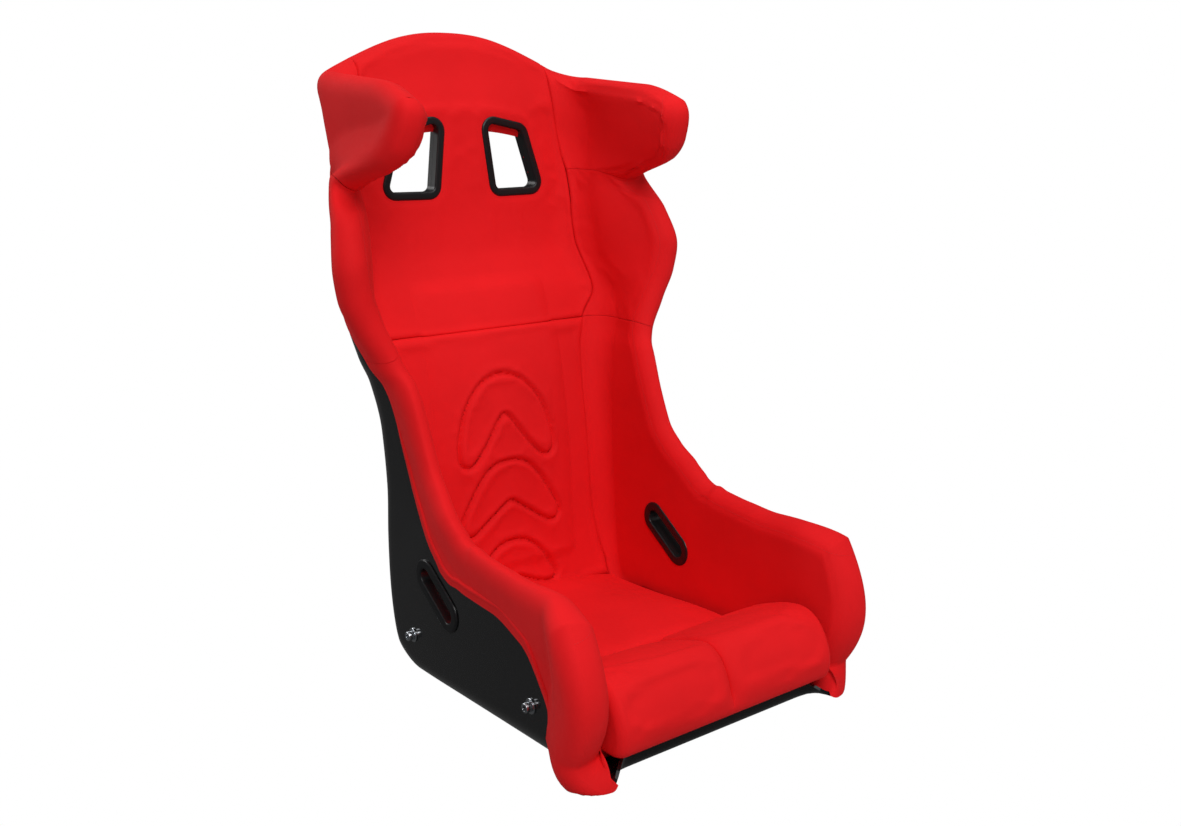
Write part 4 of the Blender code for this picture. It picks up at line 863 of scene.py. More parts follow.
# ------------------------------------------------------------------ openings
class Opening(NamedTuple):
    """A hole through cover and shell, with its outline in a plane."""

    path: List[Tuple[Point, Point]]
    place: Matrix
    node_front: str
    node_back: str
    axis: int


@dataclass(frozen=True)
class Openings:
    """Shoulder-belt windows, lap-belt slots and the crotch-belt slot."""

    y_shift: float
    window_corners: Tuple[Point, ...] = ((0.040, 0.747), (0.098, 0.735), (0.124, 0.651), (0.052, 0.650))
    window_radius: float = 0.009
    slot_centre: Point = (0.028, 0.141)
    slot_size: Point = (0.088, 0.023)
    slot_slope: float = 35.0
    crotch_y: float = -0.165
    crotch_size: Point = (0.074, 0.022)

    def windows(self, steps: int = 8) -> List[Opening]:
        """The two windows; their plane is the seat's XZ plane, up is towards -Y."""
        place = Matrix(((1, 0, 0, 0), (0, 0, -1, 0), (0, 1, 0, 0), (0, 0, 0, 1)))
        found = []
        for side, word in SIDES:
            corners = [(side * x, z) for x, z in self.window_corners]
            path = rounded_polygon(corners, self.window_radius, steps)
            found.append(Opening(path, place, f"window_bezel_front_{word}", f"window_bezel_rear_{word}", 1))
        return found

    def slots(self, steps: int = 20) -> List[Opening]:
        """The two lap-belt slots; up is the distance from the middle of the seat."""
        found = []
        for side, word in SIDES:
            turn = math.radians(self.slot_slope)
            along = Vector((0, -math.cos(turn), -math.sin(turn)))
            outward = Vector((side, 0, 0))
            place = Matrix((along, outward.cross(along), outward)).transposed().to_4x4()
            place.translation = Vector((0, self.slot_centre[0] + self.y_shift, self.slot_centre[1]))
            path = stadium(*self.slot_size, steps)
            found.append(Opening(path, place, f"lap_slot_bezel_inner_{word}",
                                 f"lap_slot_bezel_outer_{word}", 0))
        return found

    def crotch(self, steps: int = 14) -> Opening:
        """The crotch-belt slot; up is +Z."""
        place = Matrix.Translation((0, self.crotch_y + self.y_shift, 0))
        return Opening(stadium(*self.crotch_size, steps), place, "crotch_slot_trim", "crotch_slot_trim", 2)


def flat_distance(opening: Opening, points: Array) -> Array:
    """Signed distance of points from an opening's outline, seen along its axis."""
    back = np.array(opening.place.inverted())
    local = points @ back[:3, :3].T + back[:3, 3]
    return outline_distance(opening.path, local[..., 0], local[..., 1])


def cell_centres(grid: Array) -> Array:
    """Centres of a grid's cells."""
    return (grid[:-1, :-1] + grid[1:, :-1] + grid[1:, 1:] + grid[:-1, 1:]) / 4


# ------------------------------------------------------------------ upholstery
class End(Enum):
    """How a cover ends along the seat."""

    FRONT = "front edge of the seat"
    TOP = "top edge of the seat"
    SEAM = "sewn seam"


@dataclass
class Upholstery:
    """What all covers share: foam, bands, seams and the gap to the shell."""

    moulding: Moulding
    outline: Outline
    shell: float = 0.0045
    glue_gap: float = 0.0008
    rim_radius: float = 0.028
    foam_reach: float = 0.042
    hem_step: float = 0.003
    band_fade: float = 8.0
    seam_gap: float = 0.00025
    seam_radius: float = 0.0055
    seam_drop: float = 0.0040
    piping_distance: float = 0.0173
    swelling: Swelling = field(default_factory=Swelling)

    def seam_fall(self, distance: Array) -> Array:
        """How far the cloth dips at this distance from a seam."""
        return self.seam_drop * (1 - rounding(distance, self.seam_radius))

    def height(self, run: Array, v: Array, points: Array, outside: Array, extra: float = 0.0,
               drawn: object = 1.0, fall: object = 0.0) -> Tuple[Array, Array]:
        """How far the cloth stands off the outer face of the shell.

        Args:
            run: place along the seat.
            v: place across it.
            points: points of the moulding surface there.
            outside: True where the cover lies on the outside.
            extra: thickness added to the foam.
            drawn: share of the foam that is left.
            fall: dip towards seams.

        Returns:
            The height, below 0 on the inside, and the distance from the outline.
        """
        mould = self.moulding
        share = np.minimum(mould.side_share(v), 1)
        foam = mould.along("foam", run) * (1 - share) + mould.along("rim_foam", run) * share + extra
        distance = self.outline.distance(points)
        full = rounding(distance, self.rim_radius)
        band = mould.along("band", run)
        band = np.maximum(band * (1 - smooth(distance / band / self.band_fade)), self.hem_step)
        inner = -(self.shell + foam * drawn - fall) * full
        return np.where(outside, band * full, inner), distance

    def lining(self, run: Array, v: Array, outside: Array, rim: Optional[int] = None) -> Array:
        """The face of the padding against the shell, drawn in by the overhang at the rims."""
        points, normals = self.moulding.surface(run, v, self.moulding.rim_overhang)
        off = np.where(outside, self.glue_gap, -self.shell - self.glue_gap)
        if rim is not None:
            off[:, rim] = -self.shell / 2
        return points + normals * off[..., None]


@dataclass
class Cover:
    """One upholstered pad on the moulding."""

    node: str
    upholstery: Upholstery
    low: float = 0.0
    high: float = 0.0
    low_end: End = End.SEAM
    high_end: End = End.SEAM
    fill: float = 0.8
    seed: int = 1
    front_seam: float = 0.425
    front_hem: float = 0.462
    front_reach: float = 0.06

    def seam_at(self, run: Array) -> Array:
        """Where the seam beside the middle lies; it runs down to the base in front."""
        seam = self.upholstery.moulding.along("seam", run)
        behind_cushion = 0.49 + 0.15 * smooth((-0.01 - run) / 0.05)
        seam = np.where(run < 0.2, np.minimum(seam, behind_cushion), seam)
        return seam + (self.front_seam - seam) * smooth((-0.385 - run) / self.front_reach)

    def hem_at(self, run: Array) -> Array:
        """Where the hem outside lies; it runs under the front corner."""
        hem = self.upholstery.moulding.along("hem", run)
        return hem + (self.front_hem - hem) * smooth((-0.40 - run) / self.front_reach)

    def run_at(self, t: Array, v: Array, inset: float = 0.0) -> Array:
        """Run at the share t of the way up the cover."""
        front, top = self.upholstery.moulding.limits(v, inset)
        low = front if self.low_end is End.FRONT else np.full_like(front, self.low)
        high = top if self.high_end is End.TOP else np.full_like(top, self.high)
        return low + (high - low) * t

    def shares(self, v: float, step: float = 0.0045) -> Array:
        """Shares of the way up at which rows lie, close together at the ends."""
        length = float(self.run_at(np.array(1.0), np.array(v)) - self.run_at(np.array(0.0), np.array(v)))
        edge = {End.SEAM: (self.upholstery.seam_radius, 4)}
        rim = (self.upholstery.rim_radius, 11)
        return graded(np.array([length]), edge.get(self.low_end, rim), edge.get(self.high_end, rim),
                      step)[0] / length

    def finish(self, face: Array, lining: Array, uv: Array, holes: Optional[Array]) -> bpy.types.Object:
        made = closed_layers(self.node + "_cover", face, lining, uv, holes)
        RED_CLOTH.dress(made)
        keep(made, "seat", RED_CLOTH.slot, self.node)
        return made


def keep(made: bpy.types.Object, body: str, slot: str, *nodes: str) -> None:
    """Lets a piece ride on its body, hides the nodes it stands for and logs them."""
    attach(made, body)
    if nodes:
        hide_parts(*nodes)
    LOG.info("%s: %d faces on %s, for %s", made.name, len(made.data.polygons), body, nodes or "itself")


@dataclass
class Line:
    """A line on a cover, with the cover's normals along it."""

    points: Array
    normals: Array


@dataclass
class SideCover(Cover):
    """A bolster or wing: from its seam over the rim to the hem outside."""

    side: int = 1
    column_step: float = 0.0045
    crease: float = 0.0010
    end_fall: float = 0.1       # dip towards the bolsters next to it, as a share of a full seam
    slot: Optional[Opening] = None
    lines: Dict[str, Line] = field(default_factory=dict)

    def build(self) -> bpy.types.Object:
        """Builds the cover.

        Returns:
            The finished piece.
        """
        work = self.upholstery
        mould = work.moulding
        t = self.shares(1.0)[:, None]
        at = self.run_at(t, np.array(0.5))
        seam = self.seam_at(at) + work.seam_gap * 1.4
        hem = np.maximum(self.hem_at(at), seam)
        inside = graded(mould.rim_arc(at, seam)[:, 0], (work.rim_radius, 11), (work.seam_radius, 4),
                        self.column_step)
        outer = graded(mould.rim_arc(at, hem)[:, 0], (work.rim_radius, 11), (0.004, 2), self.column_step)
        arc = np.concatenate([inside[:, ::-1], -outer[:, 1:]], axis=1)
        rim = inside.shape[1] - 1
        outside = np.broadcast_to(np.arange(arc.shape[1]) > rim, arc.shape)
        v = mould.v_at_arc(at, np.abs(arc))
        run = self.run_at(t, v)
        v = v * self.side
        from_seam = inside[:, -1:] - arc
        fall = self.seam_falls(from_seam, run)
        points, normals = mould.surface(run, v, reach=work.foam_reach)
        height, distance = work.height(run, v, points, outside, fall=fall)
        line = np.exp(-((distance - work.piping_distance) / 0.0016) ** 2) * (from_seam > 0.02)
        height = height + np.where(outside, 0, self.crease * line)
        height = height * (1 + 0.012 * ripple(points, 0.09, self.seed))
        face = points + normals * height[..., None]
        face = self.press_round_slot(face)
        pinned = outside | (np.abs(arc) < 0.020) | (from_seam < 0.003)
        pinned = pinned.copy()
        pinned[[0, -1]] = True
        if self.slot is not None:
            pinned |= flat_distance(self.slot, face) < 0.030
        face = face + work.swelling.run(self.node, face, pinned)
        face[..., 2] = np.where(outside, np.maximum(face[..., 2], 0.0), face[..., 2])
        lining = work.lining(self.run_at(t, np.abs(v), mould.rim_overhang), v, outside, rim)
        uv = np.stack([arc, run], axis=-1)
        self.keep_lines(face, np.abs(arc), outside, rim)
        holes = None
        if self.slot is not None:
            holes = flat_distance(self.slot, cell_centres(face)) < 0.0068
        return self.finish(face, lining, uv, holes)

    def seam_falls(self, from_seam: Array, run: Array) -> Array:
        """Dip of the cloth towards the seams at the cover's sides and ends."""
        work = self.upholstery
        fall = work.seam_fall(from_seam)
        if self.low_end is End.SEAM:
            fall = np.maximum(fall, self.end_fall * work.seam_fall(run - self.low))
        if self.high_end is End.SEAM:
            fall = np.maximum(fall, self.end_fall * work.seam_fall(self.high - run))
        return fall

    def press_round_slot(self, face: Array) -> Array:
        """Presses the cloth flat under the slot's flange."""
        if self.slot is None:
            return face
        low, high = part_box(self.slot.node_front)
        plane = (low.x if self.side > 0 else -high.x) + 0.0022
        away = flat_distance(self.slot, face)
        share = 1 - smooth((away - 0.0125) / 0.009)
        x = np.abs(face[..., 0])
        face[..., 0] = self.side * (x + (np.maximum(x, plane) - x) * share)
        return face

    def keep_lines(self, face: Array, arc: Array, outside: Array, rim: int) -> None:
        """Remembers the lines that stitches follow."""
        normals = -self.side * grid_normals(face)
        inner = int(np.argmin(np.abs(arc[0, :rim] - self.upholstery.piping_distance)))
        self.lines["border"] = Line(face[:, inner], normals[:, inner])


@dataclass
class BackCover(Cover):
    """The middle cover: up the back, over the head and down to the arched hem."""

    step: float = 0.0045
    arch_z: float = 0.785
    arch_drop: float = 0.085
    arch_half_width: float = 0.180
    windows: Sequence[Opening] = ()

    def hem_run(self, v: Array) -> Array:
        """Run of the arched hem on the back of the head."""
        mould = self.upholstery.moulding
        head = mould.sections[-2]
        x = np.minimum(np.abs(v) / mould.v_flat, 1) * (head.half - head.corner)
        x = x + head.corner * np.sin(mould.corner_share(v) * math.pi / 2)
        z = self.arch_z - self.arch_drop * (x / self.arch_half_width) ** 2.2
        return z - (head.z - head.run)

    def build(self) -> bpy.types.Object:
        """Builds the cover.

        Returns:
            The finished piece.
        """
        work = self.upholstery
        mould = work.moulding
        up = self.shares(0.0)[:, None]
        drop = float(mould.limits(np.array(0.0))[1] - self.hem_run(np.array(0.0)))
        down = graded(np.array([drop]), (work.rim_radius, 11), (0.004, 2), self.step)[0][1:, None] / drop
        across = graded(np.array([0.34]), (0.006, 4), (0.006, 4), self.step)[0] / 0.34 * 2 - 1
        inner_run = self.run_at(up, np.array(0.5))
        seam = mould.along("seam", inner_run) - work.seam_gap * 1.4
        head_seam = seam[-1]
        v_up = seam * across
        v_down = head_seam * np.broadcast_to(across, (len(down), len(across)))
        run_up = self.run_at(up, v_up)
        top = mould.limits(v_down)[1]
        run_down = top + (self.hem_run(v_down) - top) * down
        v = np.concatenate([v_up, v_down])
        run = np.concatenate([run_up, run_down])
        outside = np.broadcast_to((np.arange(len(v)) >= len(v_up))[:, None], v.shape)
        width = mould.rim_arc(run, np.zeros_like(run)) - mould.rim_arc(run, np.abs(v))
        from_side = (width[:, -1:] - width)
        fall = work.seam_fall(from_side)
        fall = np.maximum(fall, work.seam_fall(run - self.low))
        points, normals = mould.surface(run, v, reach=work.foam_reach)
        height, distance = work.height(run, v, points, outside, fall=fall)
        height = height * (1 + 0.02 * ripple(points, 0.12, self.seed))
        face = points + normals * height[..., None]
        face = self.press_round_windows(face, outside)
        pinned = outside | (distance < 0.012) | (from_side < 0.003)
        pinned = pinned.copy()
        pinned[0] = True
        for window in self.windows:
            pinned |= flat_distance(window, face) < 0.026
        face = face + work.swelling.run(self.node, face, pinned)
        share = np.concatenate([up, up[-1:] * np.ones_like(down)])
        inset_run = self.run_at(share, np.abs(v), mould.rim_overhang)
        inset_top = mould.limits(v_down, mould.rim_overhang)[1]
        inset_run[len(v_up):] = inset_top + (self.hem_run(v_down) - inset_top) * down
        lining = work.lining(inset_run, v, outside)
        uv = np.stack([width * np.sign(v), np.where(outside, 2 * top.max() - run, run)], axis=-1)
        centres = cell_centres(face)
        holes = np.zeros(centres.shape[:2], bool)
        for window in self.windows:
            holes |= flat_distance(window, centres) < 0.0068
        return self.finish(face, lining, uv, holes)

    def press_round_windows(self, face: Array, outside: Array) -> Array:
        """Presses the cloth flat under the windows' flanges."""
        for window in self.windows:
            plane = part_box(window.node_front)[0].y + 0.0022
            share = np.where(outside, 0, 1 - smooth((flat_distance(window, face) - 0.0105) / 0.010))
            y = face[..., 1]
            face[..., 1] = y + (np.maximum(y, plane) - y) * share
        return face


# ------------------------------------------------------------ quilted chevrons
@dataclass(frozen=True)
class Chevrons:
    """Outlines of the three quilted arches down the lower back, as (x, z) half outlines."""

    halves: Tuple[Tuple[Point, ...], ...] = (
        ((0.0, 0.3840), (0.036, 0.3720), (0.062, 0.3430), (0.0775, 0.3030), (0.0810, 0.2700),
         (0.0700, 0.2575), (0.0570, 0.2615), (0.0400, 0.2790), (0.0240, 0.3000), (0.0090, 0.3210),
         (0.0, 0.3265)),
        ((0.0, 0.2590), (0.0280, 0.2530), (0.0500, 0.2330), (0.0690, 0.2040), (0.0840, 0.1740),
         (0.0800, 0.1560), (0.0640, 0.1550), (0.0480, 0.1660), (0.0290, 0.1800), (0.0100, 0.1935),
         (0.0, 0.1980)),
        ((0.0, 0.1360), (0.0250, 0.1310), (0.0450, 0.1150), (0.0610, 0.0920), (0.0720, 0.0700),
         (0.0640, 0.0560), (0.0400, 0.0600), (0.0150, 0.0720), (0.0, 0.0760)),
    )
    samples: int = 24

    def outlines(self) -> List[Array]:
        """Closed smooth outlines, left and right halves together."""
        rings = [list(half) + [(-x, z) for x, z in reversed(half[1:-1])] for half in self.halves]
        return [closed_curve(ring, self.samples) for ring in rings]

    def distance(self, x: Array, z: Array) -> Array:
        """Distance of flat points from the nearest outline."""
        best = np.full(x.shape, np.inf)
        for curve in self.outlines():
            tree = kdtree.KDTree(len(curve))
            for number, (px, pz) in enumerate(curve.tolist()):
                tree.insert((px, pz, 0), number)
            tree.balance()
            flat = np.stack([x.ravel(), z.ravel()], axis=1).tolist()
            found = np.array([tree.find((px, pz, 0))[2] for px, pz in flat])
            best = np.minimum(best, found.reshape(x.shape))
        return best


@dataclass
class LumbarCover(Cover):
    """The lower back pad: proud and crowned, quilted with three arches."""

    step: float = 0.0030
    proud: float = 0.005
    groove_depth: float = 0.0056
    groove_width: float = 0.0030
    puff: float = 0.0048
    chevrons: Chevrons = field(default_factory=Chevrons)

    def build(self) -> bpy.types.Object:
        """Builds the cover.

        Returns:
            The finished piece.
        """
        work = self.upholstery
        mould = work.moulding
        t = self.shares(0.0, self.step)[:, None]
        across = graded(np.array([0.30]), (0.010, 6), (0.010, 6), self.step)[0] / 0.30 * 2 - 1
        at = self.run_at(t, np.array(0.0))
        seam = self.seam_at(at) - work.seam_gap * 1.4
        v = seam * across
        run = np.broadcast_to(at, v.shape)
        outside = np.zeros(v.shape, bool)
        width = mould.rim_arc(run, np.zeros_like(run)) - mould.rim_arc(run, np.abs(v))
        from_side = width[:, -1:] - width
        from_end = np.minimum(run - self.low, self.high - run)
        fall = 0.0055 * (1 - rounding(np.minimum(from_side, from_end), 0.010))
        points, normals = mould.surface(run, v, reach=work.foam_reach)
        crown = 1 + 0.10 * np.cos(np.broadcast_to(across, v.shape) * math.pi / 2)
        height, _ = work.height(run, v, points, outside, self.proud, crown, fall)
        away = self.chevrons.distance(points[..., 0], points[..., 2])
        edge = np.minimum(np.minimum(from_side, from_end), away)
        groove = self.groove_depth * np.exp(-(away / self.groove_width) ** 2)
        height = height + groove - self.puff * rounding(edge, 0.016) + self.puff * 0.6
        height = height * (1 + 0.008 * ripple(points, 0.06, self.seed))
        face = points + normals * height[..., None]
        pinned = (np.minimum(from_side, from_end) < 0.004) | (away < 0.0025)
        face = face + work.swelling.run(self.node, face, pinned)
        lining = work.lining(run, v, outside)
        uv = np.stack([width * np.sign(v), run], axis=-1)
        return self.finish(face, lining, uv, None)


# -------------------------------------------------------------- loose cushions
@dataclass
class SeatCushion:
    """The loose seat cushion: a crowned, boxed pad."""

    upholstery: Upholstery
    half: float = 0.1750
    front: float = -0.1642
    rear: float = 0.1575
    base_z: float = 0.0071
    side_z: float = 0.052
    crown: float = 0.020
    rear_fall: float = 0.006
    edge: float = 0.012
    step: float = 0.0045

    def build(self) -> bpy.types.Object:
        """Builds the cushion.

        Returns:
            The finished piece.
        """
        shift = self.upholstery.moulding.y_shift
        xs = graded(np.array([2 * self.half]), (self.edge, 8), (self.edge, 8), self.step)[0] - self.half
        span = self.rear - self.front
        ys = graded(np.array([span]), (self.edge, 8), (self.edge, 8), self.step)[0] + self.front
        x, y = np.meshgrid(xs, ys, indexing="ij")
        to_edge = np.minimum(self.half - np.abs(x), np.minimum(y - self.front, self.rear - y))
        top = self.side_z + self.crown * (1 - (x / self.half) ** 2)
        top = top + self.rear_fall * np.cos(math.pi * (y - self.front) / span)
        top = top + 0.0012 * ripple(np.stack([x, y, 0 * x], axis=-1), 0.14, 31)
        rise = self.base_rise(y)
        middle = np.maximum(0.034, self.base_z + rise + 0.010)
        high = middle + (top - middle) * rounding(to_edge, self.edge)
        low = middle - (middle - self.base_z - rise) * rounding(to_edge, 0.024)
        face = np.stack([x, y + shift, high], axis=-1)
        under = np.stack([x, y + shift, low], axis=-1)
        pinned = to_edge < self.edge * 0.75
        face = face + CUSHION_SWELLING.run("seat_cushion", face, pinned)
        made = closed_layers("seat_cushion_cover", face, under, np.stack([x, y], axis=-1))
        RED_CLOTH.dress(made)
        keep(made, "seat_cushion", RED_CLOTH.slot, "seat_cushion")
        return made

    def base_rise(self, y: Array) -> Array:
        """How much the underside rises over the shell's rear corner."""
        mould = self.upholstery.moulding
        run = np.linspace(-0.385, 0.030, 60)
        return 1.35 * np.interp(y, mould.along("y", run), mould.along("z", run))


@dataclass
class ThighCushion:
    """The loose thigh support: two lobes with a sewn channel, over the front lip."""

    upholstery: Upholstery
    half: float = 0.1750
    profile: Tuple[Point, ...] = (
        (-0.1665, 0.0200), (-0.1662, 0.0450), (-0.1675, 0.0700), (-0.1760, 0.0860), (-0.2050, 0.1020),
        (-0.2500, 0.1180), (-0.2820, 0.1220), (-0.3050, 0.1130), (-0.3210, 0.0930), (-0.3300, 0.0680),
        (-0.3300, 0.0460), (-0.3220, 0.0330), (-0.3060, 0.0305), (-0.2860, 0.0300), (-0.2760, 0.0180),
        (-0.2680, 0.0085), (-0.2400, 0.0074), (-0.2050, 0.0073), (-0.1740, 0.0080))
    channel_depth: float = 0.011
    channel_radius: float = 0.026
    end_round: float = 0.013
    lowest: float = 0.0073
    step: float = 0.0045

    def ring(self, samples: int = 150) -> Array:
        """The closed (y, z) profile as evenly spaced points."""
        curve = closed_curve(self.profile, 16)
        curve = np.concatenate([curve, curve[:1]])
        length = np.concatenate([[0], np.cumsum(np.linalg.norm(np.diff(curve, axis=0), axis=1))])
        at = np.linspace(0, length[-1], samples, endpoint=False)
        return np.stack([np.interp(at, length, curve[:, k]) for k in (0, 1)], axis=1)

    def build(self) -> bpy.types.Object:
        """Builds the cushion.

        Returns:
            The finished piece.
        """
        ring = self.ring()
        centre = ring.mean(axis=0)
        half_rows = graded(np.array([self.half]), (0.012, 7), (self.end_round, 7), self.step)[0]
        xs = np.concatenate([-half_rows[:0:-1], half_rows])
        x = xs[:, None]
        inward = centre - ring
        reach = np.linalg.norm(inward, axis=1)
        inward = inward / reach[:, None]
        upper = smooth((ring[:, 1] - 0.040) / 0.030)
        dip = self.channel_depth * (1 - rounding(np.abs(x), self.channel_radius)) * upper
        hump = 0.0045 * np.cos(np.clip(np.abs(np.abs(x) - 0.088) / 0.085, 0, 1) * math.pi / 2) * upper
        ends = self.end_round * (1 - rounding(self.half - np.abs(x), self.end_round))
        side_line = 0.0012 * np.exp(-((self.half - np.abs(x) - 0.013) / 0.0016) ** 2) * upper
        pull = dip - hump + ends + side_line
        pull = pull - 0.0014 * ripple(np.stack([x + 0 * ring[:, 0], ring[:, 0] + 0 * x,
                                                ring[:, 1] + 0 * x], axis=-1), 0.11, 41) * upper
        flat = ring + inward * pull[..., None]
        flat[..., 1] = np.maximum(flat[..., 1], np.minimum(ring[:, 1], self.lowest))
        face = np.stack([np.broadcast_to(x, flat.shape[:2]), flat[..., 0], flat[..., 1]], axis=-1)
        face[..., 1] += self.upholstery.moulding.y_shift
        pinned = (upper[None, :] < 0.5) | (np.abs(x) < 0.003) | (self.half - np.abs(x) < 0.014)
        pinned = np.broadcast_to(pinned, face.shape[:2])
        face = face + CUSHION_SWELLING.run("thigh_cushion", face, pinned)
        made = self.close(face)
        RED_CLOTH.dress(made)
        keep(made, "thigh_cushion", RED_CLOTH.slot, "thigh_cushion")
        return made

    def close(self, face: Array) -> bpy.types.Object:
        """Joins the rows of rings to a closed body, its ends filled with shrinking rings."""
        rows, size = face.shape[:2]
        rings = [face[i] for i in range(rows)]
        shrunk = (0.8, 0.55, 0.3, 0.1)
        for share in shrunk:
            first, last = face[0].mean(axis=0), face[-1].mean(axis=0)
            rings.insert(0, first + (face[0] - first) * share)
            rings.append(last + (face[-1] - last) * share)
        points = np.concatenate(rings)
        faces: List[Sequence[int]] = []
        for i in range(len(rings) - 1):
            for j in range(size):
                k = (j + 1) % size
                faces.append((i * size + j, (i + 1) * size + j, (i + 1) * size + k, i * size + k))
        faces.append(tuple(range(size)))
        faces.append(tuple(range((len(rings) - 1) * size, len(rings) * size)))
        around = np.concatenate([[0], np.cumsum(np.linalg.norm(np.diff(face[rows // 2], axis=0), axis=1))])
        uv = np.stack([points[:, 0], np.tile(around, len(rings))], axis=1)
        made = new_mesh_object("thigh_cushion_cover", points, faces, uv)
        turn_outwards(made)
        return made


# ----------------------------------------------------------------------- shell
@dataclass
class Shell:
    """The glass-fibre bucket with its gelcoat face."""

    moulding: Moulding
    openings: Openings
    thickness: float = 0.0045
    step: float = 0.0055
    emboss: float = 0.0016
    chevrons: Chevrons = field(default_factory=Chevrons)

    def build(self) -> bpy.types.Object:
        """Builds the shell.

        Returns:
            The finished piece.
        """
        mould = self.moulding
        inset = mould.rim_overhang
        front, top = mould.limits(np.array(0.0), inset)
        t = graded(np.array([float(top - front)]), (0.006, 2), (0.006, 2), self.step)[0]
        t = (t / t[-1])[:, None]
        middle = np.linspace(0, mould.v_flat, 34)
        corner = np.linspace(mould.v_flat, mould.v_side, 15)[1:]
        side = np.linspace(mould.v_side, 1, 38)[1:]
        half = np.concatenate([middle, corner, side])
        v = np.concatenate([-half[:0:-1], half])[None, :]
        front, top = mould.limits(v, inset)
        run = front + (top - front) * t
        v = np.broadcast_to(v, run.shape)
        outer, normals = mould.surface(run, v, inset)
        inner = outer - normals * self.thickness
        away = self.chevrons.distance(outer[..., 0], outer[..., 2])
        groove = self.emboss * np.exp(-(away / 0.0030) ** 2) * (run > 0.03)
        outer = outer - normals * groove[..., None]
        holes = np.zeros((run.shape[0] - 1, run.shape[1] - 1), bool)
        centres = cell_centres(outer)
        for opening in self.openings.windows():
            holes |= (flat_distance(opening, centres) < 0.0065) & (cell_centres(run[..., None])[..., 0] > 0.5)
        for opening in self.openings.slots():
            side_sign = opening.place.col[2][0]
            here = centres[..., 0] * side_sign > 0.15
            holes |= (flat_distance(opening, centres) < 0.0070) & here
        low = centres[..., 2] < 0.02
        holes |= (flat_distance(self.openings.crotch(), centres) < 0.0020) & low
        uv = np.stack([v * 0.45, run], axis=-1)
        made = closed_layers("shell_moulding", outer, inner, uv, holes, sharp=50)
        GELCOAT.dress(made)
        keep(made, "seat", GELCOAT.slot, "seat_shell")
        return made


# ------------------------------------------------------------------------ trim
@dataclass
class Trim:
    """Bezels of the belt openings: a flange with a rounded rim, and a sleeve."""

    openings: Openings
    window_flange: float = 0.0110
    slot_flange: float = 0.0130
    crotch_flange: float = 0.0080
    sleeve: float = 0.0020
    rim_proud: float = 0.0030

    def section(self, width: float, face: float, end: float, proud: float) -> List[Point]:
        """Profile of a bezel: a flange on `face`, rising by `proud`, and a sleeve to `end`."""
        profile = [(0.0, end), (0.0, face + proud * 0.35)]
        for k in range(7):
            turn = math.pi / 2 * k / 6
            profile.append((0.0026 * (1 - math.cos(turn)), face + proud * (0.35 + 0.65 * math.sin(turn))))
        for k in range(9):
            turn = math.pi / 2 * k / 8
            profile.append((width - 0.0034 + 0.0034 * math.sin(turn),
                            face + proud * (0.12 + 0.88 * math.cos(turn))))
        profile += [(width, face), (self.sleeve, face), (self.sleeve, end)]
        return profile

    def build(self) -> None:
        """Builds every bezel in its node's own place."""
        for opening in self.openings.windows():
            for node, sign in ((opening.node_front, 1), (opening.node_back, -1)):
                low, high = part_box(node)
                near, far = (-low.y, -high.y) if sign > 0 else (-high.y, -low.y)
                self.bezel(node, opening, self.window_flange, near - sign * self.rim_proud, far,
                           sign * self.rim_proud)
        for opening in self.openings.slots():
            for node, sign in ((opening.node_front, -1), (opening.node_back, 1)):
                low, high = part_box(node)
                reach = sorted((abs(low.x), abs(high.x)))
                near, far = (reach[1], reach[0]) if sign > 0 else (reach[0], reach[1])
                self.bezel(node, opening, self.slot_flange, near - sign * self.rim_proud, far,
                           sign * self.rim_proud)
        crotch = self.openings.crotch()
        low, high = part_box(crotch.node_front)
        self.bezel(crotch.node_front, crotch, self.crotch_flange, high.z - 0.002, low.z, 0.002)

    def bezel(self, node: str, opening: Opening, width: float, face: float, end: float,
              proud: float) -> None:
        """Builds one bezel for a node."""
        made = swept(node + "_ring", opening.path, self.section(width, face, end, proud), opening.place)
        MOULDED_PLASTIC.dress(made)
        keep(made, "seat", MOULDED_PLASTIC.slot, node)


# ------------------------------------------------------------- geometry nodes
class GeometryTree(NodeTree):
    """A Geometry Nodes tree with a geometry input and output."""

    def __init__(self, name: str, inputs: Dict[str, Tuple[str, object]]) -> None:
        """Makes the tree and its named inputs."""
        super().__init__(bpy.data.node_groups.new(name, "GeometryNodeTree"))
        self.tree.interface.new_socket("Geometry", in_out="INPUT", socket_type="NodeSocketGeometry")
        for label, (kind, value) in inputs.items():
            made = self.tree.interface.new_socket(label, in_out="INPUT", socket_type=kind)
            if value is not None:
                made.default_value = value
        self.tree.interface.new_socket("Geometry", in_out="OUTPUT", socket_type="NodeSocketGeometry")
        self.start = self.node("NodeGroupInput")
        self.end = self.node("NodeGroupOutput")

    def finish(self, geometry: bpy.types.NodeSocket) -> None:
        """Ends the tree in Realize Instances and Set Material."""
        real = self.node("GeometryNodeRealizeInstances")
        dress = self.node("GeometryNodeSetMaterial")
        self.link(geometry, real.inputs[0])
        self.link(real.outputs[0], dress.inputs["Geometry"])
        self.link(self.start.outputs["Material"], dress.inputs["Material"])
        self.link(dress.outputs[0], self.end.inputs[0])


